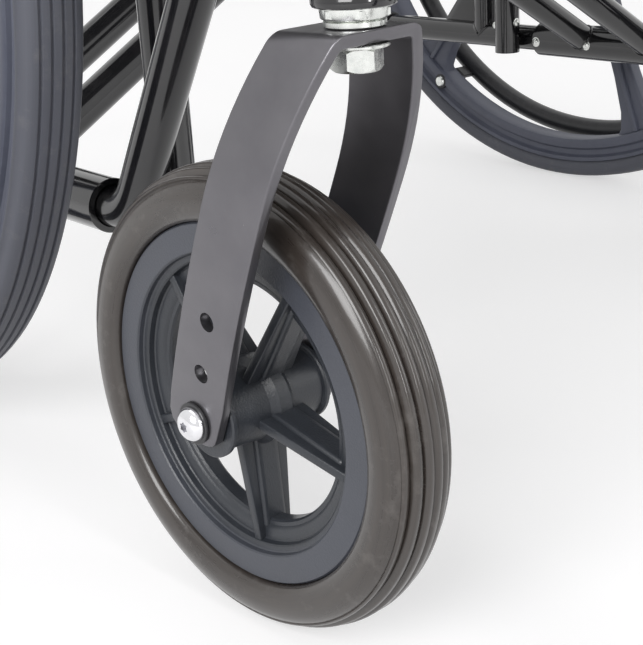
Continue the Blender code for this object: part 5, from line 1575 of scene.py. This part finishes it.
back = layOnBack(mapFlat(flatCloth(-backWide, backSizes["low"], backWide, backSizes["high"], 0.0,
                                   backSizes["thick"], 110, 60)))
backHems = joined(*[
    layOnBack(mapFlat(flatCloth(-backWide, low, backWide, low + backSizes["hem"], *layer, 110, 4)))
    for layer in backSizes["hemLayers"] for low in backSizes["hemLows"]])
backRows = joined(*[layOnBack(stitches(-0.2700, up, 0.2700, up, lift)) for up in backSizes["rows"]
                    for lift in (0.0027, -0.0012)],
                  *[layOnBack(stitches(x, 0.0620, x, 0.3360, lift)) for x in backSizes["sideRows"]
                    for lift in (0.0016, -0.0001)])
squashBack(back, "backCloth", "cloth", ["back_upholstery"])
squashBack(backHems, "backHems", "cloth")
squashBack(backRows, "backStitches", "thread")
pockets = bothSides(makePocket(), "backPocket", "frame", "cloth", [], 50)
print("seat and back made")


# Arm pads: foam under vinyl, swollen by air pressure, and flat where they lie on the arms

padSizes = {
    "x": armX + 0.016, "half": 0.0255, "front": 0.1300, "rear": 0.4500, "low": 0.7098, "high": 0.7378,
    "voxel": 0.004, "pressure": 4.0, "stiffness": 25.0, "frames": 20, "swell": 0.0028, "crown": 0.0034,
    "seamZ": 0.7160, "seam": 0.0013,
}


def puffed(pad):
    # Cloth pressure swells the pad, and no point moves further than its cap
    before = [corner.co.copy() for corner in pad.data.vertices]
    only(pad)
    puff = pad.modifiers.new("puff", "CLOTH")
    puff.settings.quality = 6
    puff.settings.use_pressure = True
    puff.settings.uniform_pressure_force = padSizes["pressure"]
    puff.settings.tension_stiffness = padSizes["stiffness"]
    puff.settings.effector_weights.gravity = 0.0
    puff.collision_settings.use_collision = False
    for frameNumber in range(1, padSizes["frames"] + 1):
        bpy.context.scene.frame_set(frameNumber)
    bpy.ops.object.modifier_apply(modifier=puff.name)
    bpy.context.scene.frame_set(1)
    for corner, old in zip(pad.data.vertices, before):
        step = corner.co - old
        if step.length > padSizes["swell"]:
            corner.co = old + step.normalized() * padSizes["swell"]


def makeArmPad():
    s = padSizes
    middle, half, low, high = s["x"], s["half"], s["low"], s["high"]
    x0, x1 = middle - half, middle + half
    pad = plate(oblong(x0 + 0.0022, s["front"] + 0.0022, x1 - 0.0022, s["rear"] - 0.0022, 0.0150, 8),
                low + 0.0002, high - s["crown"], "XY", 0.0085, 5)
    modify(pad, "REMESH", mode="VOXEL", voxel_size=s["voxel"])
    puffed(pad)
    for corner in pad.data.vertices:
        across = (corner.co.x - middle) / half
        crown = s["crown"] * max(0.0, 1 - across * across) * max(0.0, (corner.co.z - low) / (high - low))
        corner.co.z = min(max(corner.co.z + crown, low), high + 0.0012)
        corner.co.x = min(max(corner.co.x, x0), x1)
    pad.data.update()
    return modify(pad, "SUBSURF", levels=1, render_levels=1)


def makePadSeam(pad):
    s = padSizes
    half, front, rear = s["half"] - 0.0008, s["front"] + 0.0008, s["rear"] - 0.0008
    line = oblong(s["x"] - half, front, s["x"] + half, rear, 0.0165, 10)
    ring = [pad.closest_point_on_mesh((x, y, s["seamZ"]))[1] for x, y in line]
    return wire("seam", ring, s["seam"])


armPad = makeArmPad()
padSeam = makePadSeam(armPad)
padPair = bothSides(armPad, "armPad", "arm", "vinyl", ["arm_pad"], 60)
bothSides(padSeam, "armPadSeam", "arm", "vinyl", [], 60)
print("arm pads made")


# Floor, backdrop, light and camera

studio = {
    "world": 0.50, "worldSeen": 0.96, "floor": (0.50, 0.495, 0.50), "floorSize": 60.0, "lift": 0.55,
    "lamps": {                                  # place, aim, size and power
        "keySoftbox": ((-1.9, -0.9, 1.3), (-0.2, 0.0, 0.3), (1.2, 1.2), 36.0),
        "rearSoftbox": ((1.5, -1.6, 0.9), (-0.3, -0.1, 0.2), (0.5, 1.4), 7.0),
        "frontSoftbox": ((-0.35, -2.40, 0.85), (-0.35, -0.15, 0.12), (0.22, 0.95), 14.0),
        "topSoftbox": ((0.0, 0.2, 2.6), (0.0, 0.0, 0.0), (2.2, 2.2), 12.0)},
}


def seenDirectly(tree):
    # 1 to the camera, in reflections and through glass, and 0 where a surface only gives light
    rays = tree.nodes.new("ShaderNodeLightPath").outputs
    return maths(tree, "MAXIMUM", rays["Is Camera Ray"],
                 maths(tree, "MAXIMUM", rays["Is Glossy Ray"], rays["Is Transmission Ray"]))


def pale(name, colour, lift):
    # A pale matte. To the camera and in reflections it is lifted a little towards white.
    finish, tree, shader, spot = newFinish(name, Roughness=0.6, Emission_Color=(1, 1, 1, 1))
    tone = mixed(tree, clouds(tree, spot["Object"], 2.2, 3.0), (*[c * 0.985 for c in colour], 1),
                 (*colour, 1))
    tree.links.new(tone, shader.inputs["Base Color"])
    tree.links.new(maths(tree, "MULTIPLY", seenDirectly(tree), lift), shader.inputs["Emission Strength"])
    return finish


bpy.ops.object.select_all(action="DESELECT")
bpy.ops.mesh.primitive_plane_add(size=studio["floorSize"], location=(0, 0, 0))
floor = bpy.context.object
floor.name = "studioFloor"
floor.data.materials.append(pale("studioFloorPaint", studio["floor"], studio["lift"]))

world = bpy.data.worlds.new("studio")
bpy.context.scene.world = world
world.use_nodes = True
sky = world.node_tree
background = sky.nodes["Background"]
background.inputs["Color"].default_value = (1, 1, 1, 1)
sky.links.new(spread(sky, seenDirectly(sky), 0.0, 1.0, studio["world"], studio["worldSeen"]),
              background.inputs["Strength"])


def softbox(name, spot, aim, size, power):
    light = bpy.data.lights.new(name, "AREA")
    light.shape = "RECTANGLE"
    light.size, light.size_y = size
    light.energy = power
    lamp = bpy.data.objects.new(name, light)
    bpy.context.scene.collection.objects.link(lamp)
    lamp.location = spot
    lamp.rotation_euler = (Vector(aim) - Vector(spot)).to_track_quat("-Z", "Y").to_euler()


for name, lamp in studio["lamps"].items():
    softbox(name, *lamp)

view = {"place": (-0.6382, -0.5520, 0.3123), "right": (0.76272, -0.64426, -0.05647),
        "up": (0.25979, 0.22526, 0.93902), "ahead": (0.59225, 0.73088, -0.33919),
        "lens": 73.34, "sensor": 36.0, "near": 0.02}
camera = bpy.data.objects.new("camera", bpy.data.cameras.new("camera"))
bpy.context.scene.collection.objects.link(camera)
camera.data.sensor_fit = "HORIZONTAL"
camera.data.sensor_width = view["sensor"]
camera.data.lens = view["lens"]
camera.data.clip_start = view["near"]
axes = zip(view["right"], view["up"], [-a for a in view["ahead"]])
camera.matrix_world = Matrix([(*row, at) for row, at in zip(axes, view["place"])] + [(0, 0, 0, 1)])
bpy.context.scene.camera = camera

print("stage set")
